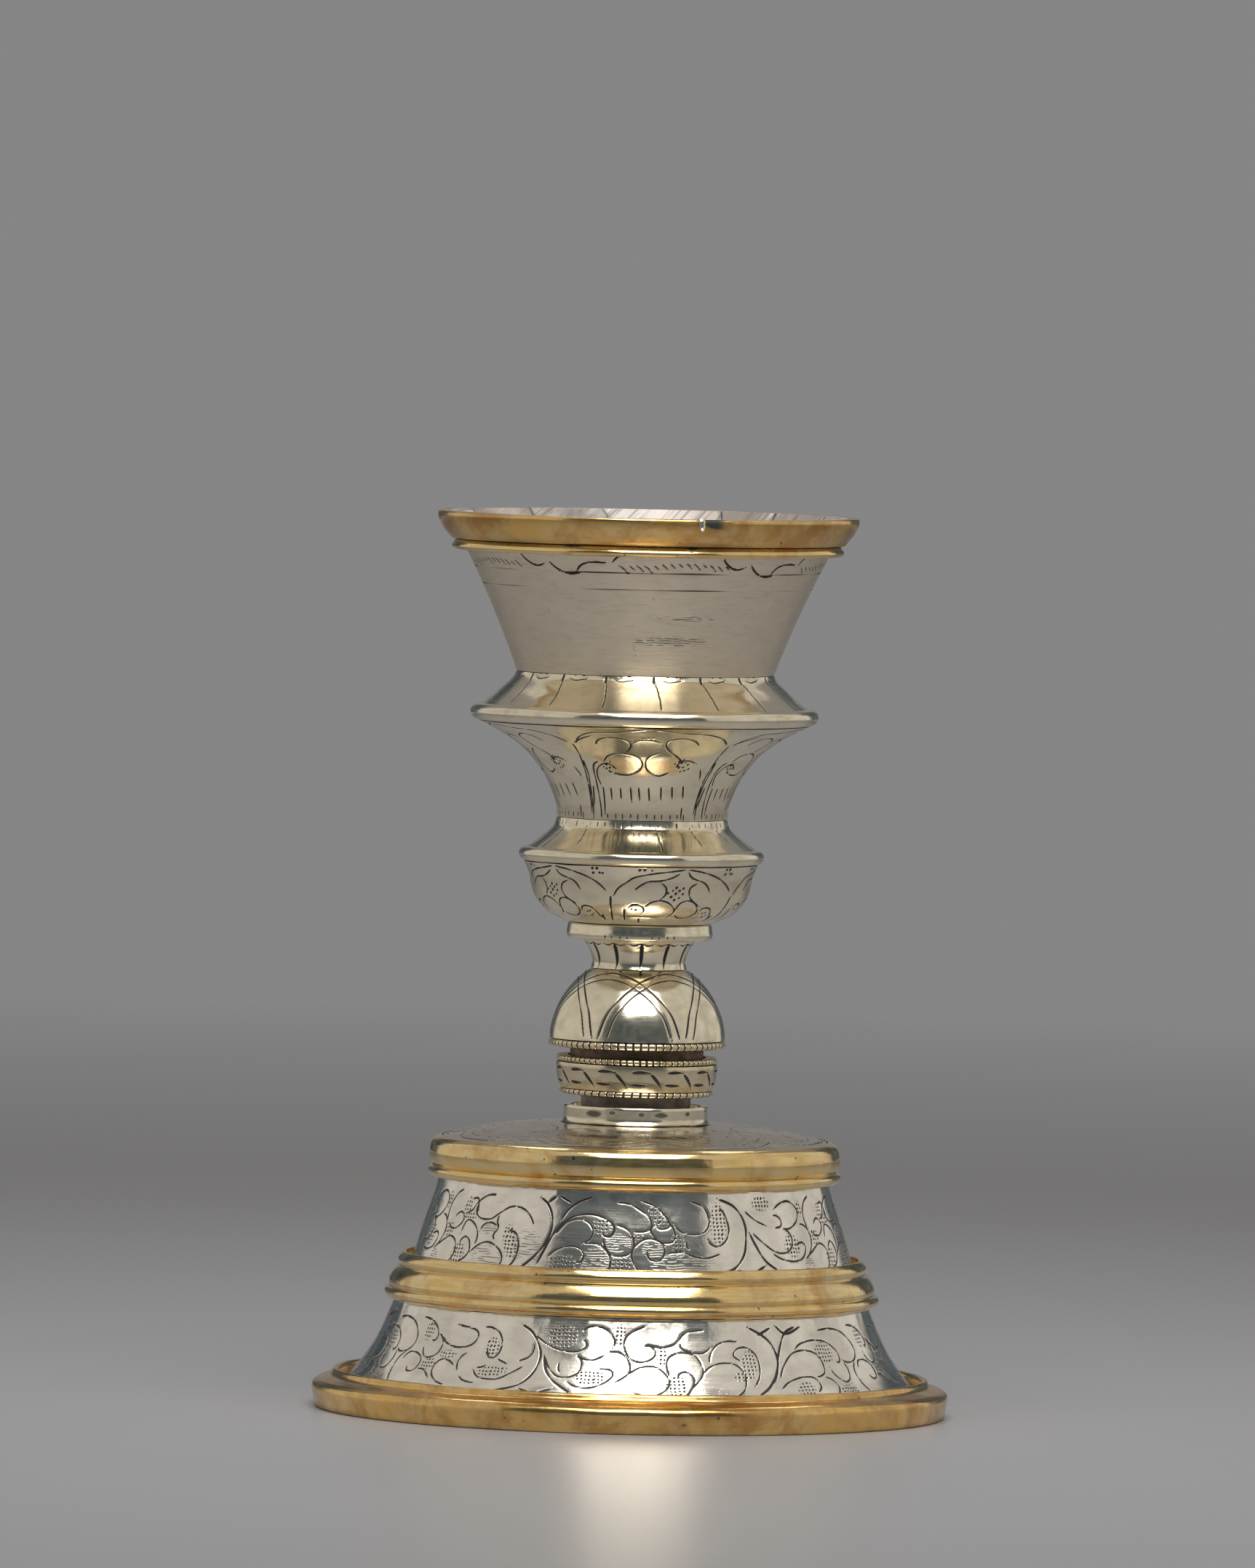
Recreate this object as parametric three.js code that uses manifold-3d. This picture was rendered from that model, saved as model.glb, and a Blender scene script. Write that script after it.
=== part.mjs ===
// A ciborium: a stepped round foot, a stacked stem with a loose ring and a domed knop, and a flared cup
// lined with plates of nacre. A tie rod soldered to the cup runs down the stem, and a nut under the foot
// draws the stack together. Millimetres, +Z up, origin on the stem's axis at the plane the foot stands on.

import * as THREE from "three";
import { mergeVertices } from "three/addons/utils/BufferGeometryUtils.js";
import Module from "manifold-3d";

const wasm = await Module();
wasm.setup();

// ---- Driving dimensions ----

const HEIGHT = 174.5;
const RIM_RADIUS = 41.0;
const FOOT_RADIUS = 61.9;
const WALL = 1.0; // thickness of the silver sheet of the foot and stem
const CUP_WALL = 0.8; // the cup is raised from a thinner sheet
const JOINT = 0.1; // solder line between two pieces that meet
const RUNNING = 0.4; // radial room between pieces that turn on each other
const LARGE = 32; // facets round the foot, drums, cup and mouldings
const SMALL = 20; // facets round the pieces of the stem

// Levels of the foot, from the table up
const DRUM_SEAT_Z = 5.2; // ledge in the foot flange that the lower drum stands on
const MIDDLE_Z = 21.15; // top of the lower drum, where the middle moulding starts
const UPPER_SEAT_Z = 28.45; // ledge in the middle moulding that the upper drum stands on
const SHOULDER_Z = 45.15; // top of the upper drum
const PLATE_Z = 56.3; // flat middle of the top plate

// Levels of the stem
const COLLAR_TOP_Z = 59.7;
const RING_BOTTOM_Z = 61.8;
const RING_TOP_Z = 69.2;
const DOME_BOTTOM_Z = 71.0;
const NECK_BOTTOM_Z = 86.3;
const BULB_COLLAR_Z = 92.0;
const BULB_Z = 95.3;

// Levels of the body and the cup
const LOWER_FLANGE_Z = 108.05;
const LOWER_NECK_Z = 115.55;
const UPPER_FLANGE_Z = 135.2;
const UPPER_NECK_Z = 143.75;
const BELL_TOP_Z = 170.9;
const BEAD_Z = 168.0;
const MOULDING_BOTTOM_Z = 169.2;

// Tie rod, nut and the pieces that it runs through
const ROD_RADIUS = 3.0;
const ROD_BORE = ROD_RADIUS + RUNNING;
const ROD_END_Z = 41.5;
const NUT_WIDTH = 13.0;
const NUT_HEIGHT = 5.0;
const WASHER_TOP_Z = 53.9;
const WASHER_THICK = 1.2;

// Nacre plates: the widths in degrees of the plates round the inside of the cup, from the seam
// that lies PLATE_START degrees from +X, counter-clockwise seen from above
const PLATE_WIDTHS = [20, 37, 23, 30, 26, 33, 24, 35, 28, 22, 34, 25, 23];
const PLATE_START = 47;
const PLATE_THICK = 1.2;
const PLATE_OFFSET = 1.3; // from the outside of the bell to the back of the plates
const PLATE_BOTTOM_Z = 147.4;
const PLATE_TOP_RADIUS = 38.75; // the lining flares a little more at the lip
const SEAM = 0.3; // opening between neighbouring plates

// ---- Materials ----

const finish = (color, roughness, metalness = 1) =>
  new THREE.MeshStandardMaterial({ color, roughness, metalness });
const silver = finish(0xc4bcae, 0.28);
const gilt = finish(0xc9a55c, 0.3);
const darkCore = finish(0x54473f, 0.6);
const nacre = finish(0xcfc6bd, 0.35, 0);
const iron = finish(0x6a655f, 0.5);

// ---- Helpers ----

const group = new THREE.Group();

// Adds a geometry to the group as a named mesh.
function place(name, material, geometry) {
  const mesh = new THREE.Mesh(geometry, material.clone());
  mesh.name = name;
  group.add(mesh);
  return mesh;
}

// Area of a closed outline, positive when it runs counter-clockwise in the (radius, height) plane.
const turnOf = (outline) =>
  outline.reduce((sum, [r, z], i) => {
    const [nextR, nextZ] = outline[(i + 1) % outline.length];
    return sum + (r * nextZ - nextR * z) / 2;
  }, 0);

// Turns a closed outline of [radius, height] points about +Z.
function turnedGeometry(outline, facets) {
  const ordered = turnOf(outline) > 0 ? outline : [...outline].reverse();
  const closed = [...ordered, ordered[0]].map(([r, z]) => new THREE.Vector2(r, z));
  return new THREE.LatheGeometry(closed, facets).rotateX(Math.PI / 2);
}

const turned = (name, material, outline, facets = SMALL) =>
  place(name, material, turnedGeometry(outline, facets));

// A smooth line through a few [radius, height] points, sampled in equal steps.
const smooth = (points, steps) =>
  new THREE.SplineCurve(points.map(([r, z]) => new THREE.Vector2(r, z)))
    .getPoints(steps)
    .map((p) => [p.x, p.y]);

// Points on an arc about [centreR, centreZ], in degrees from the outward direction.
function arc(centreR, centreZ, radius, from, to, steps) {
  return Array.from({ length: steps + 1 }, (_, i) => {
    const angle = THREE.MathUtils.degToRad(from + ((to - from) * i) / steps);
    return [centreR + radius * Math.cos(angle), centreZ + radius * Math.sin(angle)];
  });
}

// The outline of a sheet: the outer line, given from the bottom up, and the same line one wall
// thickness towards the axis, with both ends cut level.
function sheet(outer, wall = WALL) {
  const last = outer.length - 1;
  const inner = outer.map(([r, z], i) => {
    const [r0, z0] = outer[Math.max(i - 1, 0)];
    const [r1, z1] = outer[Math.min(i + 1, last)];
    const length = Math.hypot(r1 - r0, z1 - z0);
    const inward = [-(z1 - z0) / length, (r1 - r0) / length];
    return i === 0 || i === last
      ? [r - wall / Math.abs(inward[0]), z]
      : [r + wall * inward[0], z + wall * inward[1]];
  });
  return [...outer, ...inner.reverse()];
}

// A round disc or tube between two heights.
const tube = (inner, outer, bottom, top) => [
  [inner, bottom],
  [outer, bottom],
  [outer, top],
  [inner, top],
];

// A flange's edge: a band with a half-round outside, thick from bottom to top.
function edgeWire(inner, outer, middle, thick) {
  const half = thick / 2;
  return [[inner, middle - half], ...arc(outer - half, middle, half, -90, 90, 3), [inner, middle + half]];
}

// A three.js geometry as a manifold-3d solid, and back.
function solidOf(geometry) {
  const bare = geometry.clone().deleteAttribute("normal").deleteAttribute("uv");
  const merged = mergeVertices(bare);
  return new wasm.Manifold(
    new wasm.Mesh({
      numProp: 3,
      vertProperties: merged.attributes.position.array,
      triVerts: new Uint32Array(merged.index.array),
    }),
  );
}

function geometryOf(solid) {
  const mesh = solid.getMesh();
  const geometry = new THREE.BufferGeometry();
  geometry.setAttribute("position", new THREE.BufferAttribute(mesh.vertProperties, 3));
  geometry.setIndex(new THREE.BufferAttribute(mesh.triVerts, 1));
  geometry.computeVertexNormals();
  return geometry;
}

// ---- Foot: flange, two engraved drums and the mouldings between them ----

turned(
  "foot_flange",
  gilt,
  [
    [56.4, 0],
    [60.9, 0],
    [61.2, 1.5],
    [FOOT_RADIUS, 3.6],
    [61.6, 4.9],
    [60.2, 5.7],
    [58.4, 6.3],
    [57.8, 7.3],
    [57.2, 7.5],
    [56.6, 7.1],
    [56.6, DRUM_SEAT_Z],
    [53.4, DRUM_SEAT_Z],
    [53.4, DRUM_SEAT_Z - 1],
    [55.9, DRUM_SEAT_Z - 1.2],
  ],
  LARGE,
);

const lowerDrumLine = [
  [55.6, DRUM_SEAT_Z + JOINT],
  [52.0, 9.4],
  [48.9, 14.5],
  [46.15, MIDDLE_Z],
];
turned("lower_drum", silver, sheet(smooth(lowerDrumLine, 4)), LARGE);

turned(
  "middle_moulding",
  gilt,
  [
    [45.0, MIDDLE_Z + JOINT],
    [46.9, MIDDLE_Z + JOINT],
    ...arc(46.95, 22.6, 1.1, -30, 50, 2),
    ...arc(45.0, 25.5, 2.15, -25, 60, 3),
    [45.2, 28.1],
    [45.5, 28.9],
    [44.8, 29.9],
    [43.9, 30.4],
    [43.9, UPPER_SEAT_Z],
    [41.0, UPPER_SEAT_Z],
    [41.0, UPPER_SEAT_Z - 1.1],
    [44.0, UPPER_SEAT_Z - 1.4],
  ],
  LARGE,
);

const upperDrumLine = [
  [42.95, UPPER_SEAT_Z + JOINT],
  [40.3, 37.4],
  [38.0, SHOULDER_Z],
];
turned("upper_drum", silver, sheet(smooth(upperDrumLine, 2)), LARGE);

turned(
  "upper_moulding",
  gilt,
  [
    [36.7, SHOULDER_Z + JOINT],
    [39.4, SHOULDER_Z + JOINT],
    ...arc(39.1, 46.3, 1.05, -30, 50, 2),
    [39.1, 47.6],
    ...arc(36.6, 49.7, 3.3, -15, 75, 3),
    [37.45, 53.2],
    [37.45, 51.9],
    [35.9, 51.9],
  ],
  LARGE,
);

turned(
  "top_plate",
  silver,
  [
    [ROD_BORE, PLATE_Z],
    [15.0, PLATE_Z],
    [27.0, 55.3],
    [37.3, 53.1],
    [37.0, 52.1],
    [26.8, 54.3],
    [15.0, PLATE_Z - WALL],
    [ROD_BORE, PLATE_Z - WALL],
  ],
  LARGE,
);

turned("stem_collar", silver, [
  [12.7, PLATE_Z + JOINT],
  [14.5, PLATE_Z + JOINT],
  [14.0, PLATE_Z + 0.7],
  [14.0, COLLAR_TOP_Z],
  [12.7, COLLAR_TOP_Z],
]);

const SEAT_PLATE_BOTTOM_Z = WASHER_TOP_Z + JOINT;
turned("seat_plate", silver, tube(ROD_BORE, 12, SEAT_PLATE_BOTTOM_Z, PLATE_Z - WALL - JOINT));

turned("lower_spacer", darkCore, tube(ROD_BORE, 10.0, PLATE_Z + JOINT, RING_BOTTOM_Z - JOINT));

// ---- Loose ring of the knop ----

const RING_FLOOR_TOP_Z = RING_BOTTOM_Z + 1.8;
const SPACER_RADIUS = 13.0;
const RING_BORE = SPACER_RADIUS + RUNNING;
turned("knop_ring", silver, [
  [ROD_BORE, RING_BOTTOM_Z],
  [13.2, RING_BOTTOM_Z],
  [13.2, RING_BOTTOM_Z + 1.2],
  [14.8, RING_BOTTOM_Z + 1.2],
  [15.3, 64.7],
  [15.65, 66.6],
  [15.7, 67.9],
  [RING_BORE, 67.9],
  [RING_BORE, RING_FLOOR_TOP_Z],
  [ROD_BORE, RING_FLOOR_TOP_Z],
]);
turned("ring_top_wire", silver, edgeWire(RING_BORE + JOINT, 15.6, RING_TOP_Z - 0.6, 1.2));
turned("ring_bottom_wire", silver, edgeWire(13.3, 14.85, RING_BOTTOM_Z + 0.55, 1.1));

// ---- Domed knop and neck ----

turned("upper_spacer", darkCore, tube(ROD_BORE, SPACER_RADIUS, RING_FLOOR_TOP_Z + JOINT, DOME_BOTTOM_Z));
turned("dome_base", silver, tube(ROD_BORE, 15.4, DOME_BOTTOM_Z + JOINT, DOME_BOTTOM_Z + 1.3));
turned("dome_wire", silver, edgeWire(15.6, 17.25, DOME_BOTTOM_Z + 0.75, 1.5));

const DOME_RADIUS = 17.1;
const DOME_CENTRE_Z = 71.95;
turned("dome_knop", silver, sheet(arc(0, DOME_CENTRE_Z, DOME_RADIUS, 2.2, 56.2, 5)));

const neckLine = [
  [9.4, NECK_BOTTOM_Z],
  [9.05, 87.3],
  [9.6, 89.3],
  [11.0, BULB_COLLAR_Z - JOINT],
];
turned("neck_spool", silver, sheet(smooth(neckLine, 4)));

turned("bulb_collar", silver, [
  [ROD_BORE, BULB_COLLAR_Z],
  [13.9, BULB_COLLAR_Z],
  [14.15, BULB_COLLAR_Z + 0.4],
  [14.0, BULB_COLLAR_Z + 2.4],
  [13.2, BULB_Z - JOINT],
  [ROD_BORE, BULB_Z - JOINT],
]);

// ---- Body: bulb, two flanges with their shoulders, and the cove between them ----

const FLANGE_THICK = 2.3;
const half = FLANGE_THICK / 2 + JOINT;

const bulbLine = [
  [14.4, BULB_Z],
  [18.2, 97.2],
  [20.8, 100.6],
  [21.5, 103.1],
  [22.7, LOWER_FLANGE_Z - half],
];
turned("bulb", silver, sheet(smooth(bulbLine, 6)));

turned("lower_flange_wire", silver, edgeWire(21.0, 23.8, LOWER_FLANGE_Z, FLANGE_THICK));

const lowerShoulderLine = [
  [22.9, LOWER_FLANGE_Z + half],
  [19.6, 111.6],
  [17.2, 113.7],
  [16.6, LOWER_NECK_Z - JOINT],
];
turned("lower_shoulder", silver, sheet(smooth(lowerShoulderLine, 4)));

const coveLine = [
  [16.55, LOWER_NECK_Z],
  [17.9, 120.9],
  [20.9, 125.9],
  [26.65, 131.0],
  [32.2, UPPER_FLANGE_Z - half],
];
turned("cove", silver, sheet(smooth(coveLine, 6)), LARGE);

turned("upper_flange_wire", silver, edgeWire(30.2, 33.8, UPPER_FLANGE_Z, FLANGE_THICK), LARGE);

const upperShoulderLine = [
  [32.9, UPPER_FLANGE_Z + half],
  [29.05, 139.4],
  [26.0, 142.3],
  [25.05, UPPER_NECK_Z - JOINT],
];
turned("upper_shoulder", silver, sheet(smooth(upperShoulderLine, 3)), LARGE);

// ---- Cup ----

// Outside radius of the bell, which flares as a shallow parabola above the neck.
const bellRadius = (z) => {
  const h = z - UPPER_NECK_Z;
  return 25.04 + 0.361 * h + 0.00328 * h * h;
};

// Points up the bell's outside, moved in by an offset.
const upTheBell = (bottom, top, steps, offset = 0) =>
  Array.from({ length: steps + 1 }, (_, i) => {
    const z = bottom + ((top - bottom) * i) / steps;
    return [bellRadius(z) - offset, z];
  });
turned("bell", silver, sheet(upTheBell(UPPER_NECK_Z, BELL_TOP_Z, 4), CUP_WALL), LARGE);

turned(
  "rim_moulding",
  gilt,
  [
    [bellRadius(MOULDING_BOTTOM_Z) + 2 * JOINT, MOULDING_BOTTOM_Z],
    [38.3, MOULDING_BOTTOM_Z],
    [39.6, 170.3],
    [40.6, 172.0],
    [RIM_RADIUS, 173.7],
    [40.7, HEIGHT],
    [39.05, HEIGHT],
    [bellRadius(BELL_TOP_Z) + 2 * JOINT, BELL_TOP_Z],
  ],
  LARGE,
);

turned(
  "rim_bead",
  gilt,
  [
    [bellRadius(BEAD_Z - 1) + 2 * JOINT, BEAD_Z - 1],
    ...arc(37.1, BEAD_Z, 1.0, -70, 70, 3),
    [bellRadius(BEAD_Z + 1) + 2 * JOINT, BEAD_Z + 1],
  ],
  LARGE,
);

turned(
  "cup_floor",
  gilt,
  [
    [0, 144.4],
    [14, 145.1],
    [24.8, 147.2],
    [24.8, 146.3],
    [14, 144.2],
    [0, 143.5],
  ],
  LARGE,
);

// The bent tongue left on the outside of the rim
const tongue = place("rim_tongue", silver, new THREE.BoxGeometry(1.3, 0.5, 1.6));
tongue.geometry.rotateX(THREE.MathUtils.degToRad(-6));
const TONGUE_ANGLE = THREE.MathUtils.degToRad(14.3);
const TONGUE_RADIUS = 41.5;
tongue.rotation.z = TONGUE_ANGLE;
tongue.position.set(TONGUE_RADIUS * Math.sin(TONGUE_ANGLE), -TONGUE_RADIUS * Math.cos(TONGUE_ANGLE), 173.1);

// Nacre plates: sectors of one conical lining, cut apart along the seams
const liningLine = [
  ...upTheBell(PLATE_BOTTOM_Z, BELL_TOP_Z, 2, PLATE_OFFSET),
  [PLATE_TOP_RADIUS, HEIGHT],
];
const lining = solidOf(turnedGeometry(sheet(liningLine, PLATE_THICK), LARGE * 2));
const SECTOR_REACH = 60;
let seamAngle = PLATE_START;
PLATE_WIDTHS.forEach((width, i) => {
  const angle = THREE.MathUtils.degToRad(width);
  const wedge = new THREE.Shape([
    new THREE.Vector2(0, 0),
    new THREE.Vector2(SECTOR_REACH, 0),
    new THREE.Vector2(SECTOR_REACH * Math.cos(angle), SECTOR_REACH * Math.sin(angle)),
  ]);
  const middle = angle / 2;
  const shift = SEAM / 2 / Math.sin(middle);
  const sector = new THREE.ExtrudeGeometry(wedge, { depth: HEIGHT, bevelEnabled: false })
    .translate(shift * Math.cos(middle), shift * Math.sin(middle), 1)
    .rotateZ(THREE.MathUtils.degToRad(seamAngle));
  const plate = lining.intersect(solidOf(sector));
  place(`nacre_plate_${String(i + 1).padStart(2, "0")}`, nacre, geometryOf(plate));
  seamAngle += width;
});

// ---- Tie rod, washer and nut ----

turned("tie_rod", iron, [
  [0, ROD_END_Z],
  [ROD_RADIUS - 0.5, ROD_END_Z],
  [ROD_RADIUS, ROD_END_Z + 0.5],
  [ROD_RADIUS, BULB_Z],
  [8, BULB_Z],
  [8, BULB_Z + 2],
  [0, BULB_Z + 2],
]);

turned("washer", iron, tube(ROD_BORE, 8.5, WASHER_TOP_Z - WASHER_THICK, WASHER_TOP_Z));

const nutSide = NUT_WIDTH / 2;
const nutShape = new THREE.Shape([
  new THREE.Vector2(-nutSide, -nutSide),
  new THREE.Vector2(nutSide, -nutSide),
  new THREE.Vector2(nutSide, nutSide),
  new THREE.Vector2(-nutSide, nutSide),
]);
nutShape.holes.push(new THREE.Path().absarc(0, 0, ROD_BORE, 0, 2 * Math.PI, true));
const nut = place(
  "nut",
  iron,
  new THREE.ExtrudeGeometry(nutShape, { depth: NUT_HEIGHT, bevelEnabled: false, curveSegments: SMALL }),
);
nut.position.z = WASHER_TOP_Z - WASHER_THICK - JOINT - NUT_HEIGHT;

export default group;
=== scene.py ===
"""A ciborium: engraved silver drums, a worn gilt foot, a stacked stem with a domed knop, and a lined cup.

Every turned piece is a closed outline of radius and height carried round +Z. The engraving is cut into it
as real grooves: a field of V-shaped cuts over the unrolled surface, in millimetres round it and up it, is
pushed in along the outline's normals and kept as the "cut" attribute that darkens the metal.
"""

import math

import bmesh
import bpy
import numpy as np
from bpy.props import FloatProperty, FloatVectorProperty, IntProperty, PointerProperty
from mathutils import Matrix, Vector


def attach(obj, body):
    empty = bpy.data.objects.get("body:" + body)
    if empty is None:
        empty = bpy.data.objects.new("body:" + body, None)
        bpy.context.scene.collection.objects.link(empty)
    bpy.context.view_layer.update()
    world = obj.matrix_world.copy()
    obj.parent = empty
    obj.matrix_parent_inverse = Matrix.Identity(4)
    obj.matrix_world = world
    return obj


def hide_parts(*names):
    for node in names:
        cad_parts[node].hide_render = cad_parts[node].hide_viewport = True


bl_info = {
    "name": "Engraved ciborium",
    "version": (1, 0, 0),
    "blender": (4, 5, 0),
    "location": "3D View > Sidebar > Ciborium",
    "description": "Builds the pieces of an engraved silver ciborium round its packed frame",
    "category": "Add Mesh",
}

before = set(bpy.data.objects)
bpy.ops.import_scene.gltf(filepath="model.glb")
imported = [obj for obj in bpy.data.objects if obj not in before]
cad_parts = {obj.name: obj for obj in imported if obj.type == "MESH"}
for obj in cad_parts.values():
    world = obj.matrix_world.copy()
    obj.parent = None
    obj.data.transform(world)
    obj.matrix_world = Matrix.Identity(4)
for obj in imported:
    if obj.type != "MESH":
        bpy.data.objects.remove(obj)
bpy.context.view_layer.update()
MM = 0.001
TURN = 2 * math.pi
SHARP_DEGREES = 50
# What a piece's surface carries for its finish: cuts, stains and painted shade, masks for dots and
# hatching, distance up it
MARKS = ("cut", "stain", "punch", "hatch", "rise")


# ---- Lines and outlines, in millimetres ----


def walked_up(line):
    """Distance along a line from its start."""
    return np.r_[0, np.cumsum(np.hypot(*np.diff(line, axis=0).T))]


def tangents(line):
    """The direction of a line at each of its points, one unit long."""
    along = np.gradient(line, axis=0)
    return along / np.linalg.norm(along, axis=1)[:, None]


def smooth_line(points, step=0.5):
    """A Catmull-Rom line through the points, walked in equal steps of about `step`."""
    p = np.asarray(points, float)
    ends = np.vstack([2 * p[0] - p[1], p, 2 * p[-1] - p[-2]])
    a, b, c, d = (q[:, None] for q in (ends[:-3], ends[1:-2], ends[2:-1], ends[3:]))
    t = np.linspace(0, 1, 20, endpoint=False)[None, :, None]
    fine = 0.5 * (2 * b + (c - a) * t + (2 * a - 5 * b + 4 * c - d) * t**2 + (3 * b - a - 3 * c + d) * t**3)
    fine = np.vstack([fine.reshape(-1, 2), p[-1]])
    walked = walked_up(fine)
    s = np.linspace(0, walked[-1], max(2, round(walked[-1] / step) + 1))
    return np.c_[np.interp(s, walked, fine[:, 0]), np.interp(s, walked, fine[:, 1])]


def arc(centre_r, centre_z, radius, start, end, steps=8):
    """Points on a circle round (centre_r, centre_z), in degrees from the outward direction."""
    angle = np.radians(np.linspace(start, end, steps + 1))
    return np.c_[centre_r + radius * np.cos(angle), centre_z + radius * np.sin(angle)]


def sheet(outer, wall=1.0, keep=6):
    """A sheet's outline: the outer line from the bottom up, then one wall nearer the axis from the top
    down. The inner line keeps one point in `keep`, and both ends are cut level."""
    along = tangents(outer)
    inner = outer + wall * np.c_[-along[:, 1], along[:, 0]]
    for end in (0, -1):
        inner[end] = outer[end] - [wall / abs(along[end, 1]), 0]
    chosen = np.r_[np.arange(0, len(inner) - 1, keep), len(inner) - 1]
    inside = inner[chosen]
    inside = inside[(inside[:, 1] >= outer[0, 1] - 1e-9) & (inside[:, 1] <= outer[-1, 1] + 1e-9)]
    return np.vstack([outer, inside[::-1]])


def wire_outline(inner, outer, middle, thick):
    """A band from radius `inner` to `outer`, `thick` high, with a half-round outside."""
    half = thick / 2
    outside = arc(outer - half, middle, half, -90, 90, 12)
    return np.vstack([[inner, middle - half], outside, [inner, middle + half]])


# ---- Meshes ----


def linked(name, data):
    """A new object holding the data, in the scene."""
    made = bpy.data.objects.new(name, data)
    bpy.context.collection.objects.link(made)
    return made


def piece_from(name, verts, quads, body, material, slot, **marks):
    """The piece that stands for the frame's node `name`, from arrays of vertices in metres and quads, with
    one float attribute for each of `marks`."""
    piece_name = "vessel_" + name
    mesh = bpy.data.meshes.new(piece_name)
    mesh.vertices.add(len(verts))
    mesh.vertices.foreach_set("co", np.asarray(verts, np.float32).ravel())
    quads = np.asarray(quads, np.int32)
    mesh.loops.add(quads.size)
    mesh.loops.foreach_set("vertex_index", quads.ravel())
    mesh.polygons.add(len(quads))
    mesh.polygons.foreach_set("loop_start", np.arange(0, quads.size, 4, dtype=np.int32))
    mesh.update(calc_edges=True)
    mesh.validate()
    mesh.polygons.foreach_set("use_smooth", np.ones(len(mesh.polygons), bool))
    mesh.set_sharp_from_angle(angle=math.radians(SHARP_DEGREES))
    for key, values in {**dict.fromkeys(MARKS, 0), **marks}.items():
        layer = mesh.attributes.new(key, "FLOAT", "POINT")
        layer.data.foreach_set("value", np.broadcast_to(values, len(verts)).astype(np.float32).ravel())
    piece = linked(piece_name, mesh)
    mesh.materials.append(material)
    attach(piece, body)
    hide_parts(name)
    return piece


def grid_quads(rows, columns, closed_up=True, closed_round=True):
    """Quads of a grid of rows and columns, whose last row may join its first, and last column its first.
    They face out of an outline that runs counter-clockwise."""
    i, j = np.meshgrid(
        np.arange(rows if closed_up else rows - 1),
        np.arange(columns if closed_round else columns - 1),
        indexing="ij",
    )
    up, on = (i + 1) % rows, (j + 1) % columns
    corners = [i * columns + j, i * columns + on, up * columns + on, up * columns + j]
    return np.stack(corners, -1).reshape(-1, 4)


def turned_over(quads):
    """The same quads facing the other way."""
    return quads[:, [0, 3, 2, 1]]


def about_axis(r, a, z):
    """Points at radius r, angle a from the front and height z: x = r sin a, y = -r cos a."""
    return np.stack([r * np.sin(a), -r * np.cos(a), z], -1)


def angles(columns):
    """Angles round the axis counted from the front, from minus to plus half a turn."""
    return -math.pi + TURN * np.arange(columns) / columns


def turned(name, outline, columns, body, material, slot="silver", push=None, lean=(0, 0), **marks):
    """The outline carried round +Z: x = r sin a, y = -r cos a, z = z, with a counted from the front. Each
    point moves by `push` along the outline's outward normal, then z rises by lean times x and y."""
    outline = np.asarray(outline, float)
    along = np.roll(outline, -1, 0) - np.roll(outline, 1, 0)
    length = np.maximum(np.linalg.norm(along, axis=1), 1e-9)
    normal = np.c_[along[:, 1], -along[:, 0]] / length[:, None]
    rows = len(outline)
    field = np.zeros((rows, columns))
    if push is not None:
        field[: len(push)] = push
    r = outline[:, :1] + normal[:, :1] * field
    z = outline[:, 1:] + normal[:, 1:] * field
    a = angles(columns)
    x, y = r * np.sin(a), -r * np.cos(a)
    z = z + lean[0] * x + lean[1] * y
    full = {}
    for key, values in marks.items():
        grid = np.zeros((rows, columns))
        grid[: len(values)] = values
        full[key] = grid.ravel()
    verts = np.stack([x, y, z], -1).reshape(-1, 3) * MM
    return piece_from(name, verts, grid_quads(rows, columns), body, material, slot, **full)


# ---- Unevenness of hand work ----


def ripple(rows, columns, seed, height, waves=9, coarse=14):
    """A sum of sine waves over the grid, whole numbers of them round it: hand-hammered unevenness."""
    rng = np.random.default_rng(seed)
    a = angles(columns)[None, :]
    v = np.linspace(0, 1, rows)[:, None]
    total = np.zeros((rows, columns))
    for _ in range(waves):
        phase = rng.integers(1, coarse) * a + rng.uniform(0, 6) * v + rng.uniform(0, TURN)
        total += np.sin(phase) * rng.uniform(0.3, 1)
    return total * height / waves


def dents(rows, columns, count, deep, v0, v1):
    """A row of shallow flutes, `count` to a turn and deeper from v0 to v1 of the height, as a hammer's
    cross face leaves: the size of a sine, bent a little."""
    a = angles(columns)[None, :]
    v = np.linspace(0, 1, rows)[:, None]
    band = np.clip((v - v0) / max(v1 - v0, 1e-6), 0, 1) ** 2
    return -deep * band * np.abs(np.sin(count / 2 * a + 0.8 * np.sin(3 * a + 1)))


# ---- The graver's strokes ----


def graved(points, width=0.2, push=3.2, step=0.3):
    """One cut line: pushes of the graver about `push` long, each swelling from thin to `width` (half the
    line's width) and thinning again, with tapered ends."""
    line = smooth_line(points, step)
    walked = walked_up(line)
    total = max(walked[-1], 1e-6)
    pushes = max(1, round(total / push))
    swell = 0.5 + 0.5 * np.abs(np.sin(math.pi * walked / total * pushes)) ** 0.6
    ends = np.clip(np.minimum(walked, total - walked) / 0.9, 0.25, 1)
    return line, width * swell * ends


def gouge(start, end, width, bend=0.0, blunt=0.25):
    """A single tapered cut from start to end, widest a third of the way, bowed sideways by `bend`."""
    start, end = np.asarray(start, float), np.asarray(end, float)
    t = np.linspace(0, 1, 9)[:, None]
    side = np.array([start[1] - end[1], end[0] - start[0]])
    side = side / max(np.linalg.norm(side), 1e-6)
    line = start + (end - start) * t + side * bend * 4 * t * (1 - t)
    shape = np.clip(np.sin(math.pi * t[:, 0] ** 0.7) + blunt * (1 - t[:, 0]), 0.08, 1)
    return line, width * shape


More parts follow.
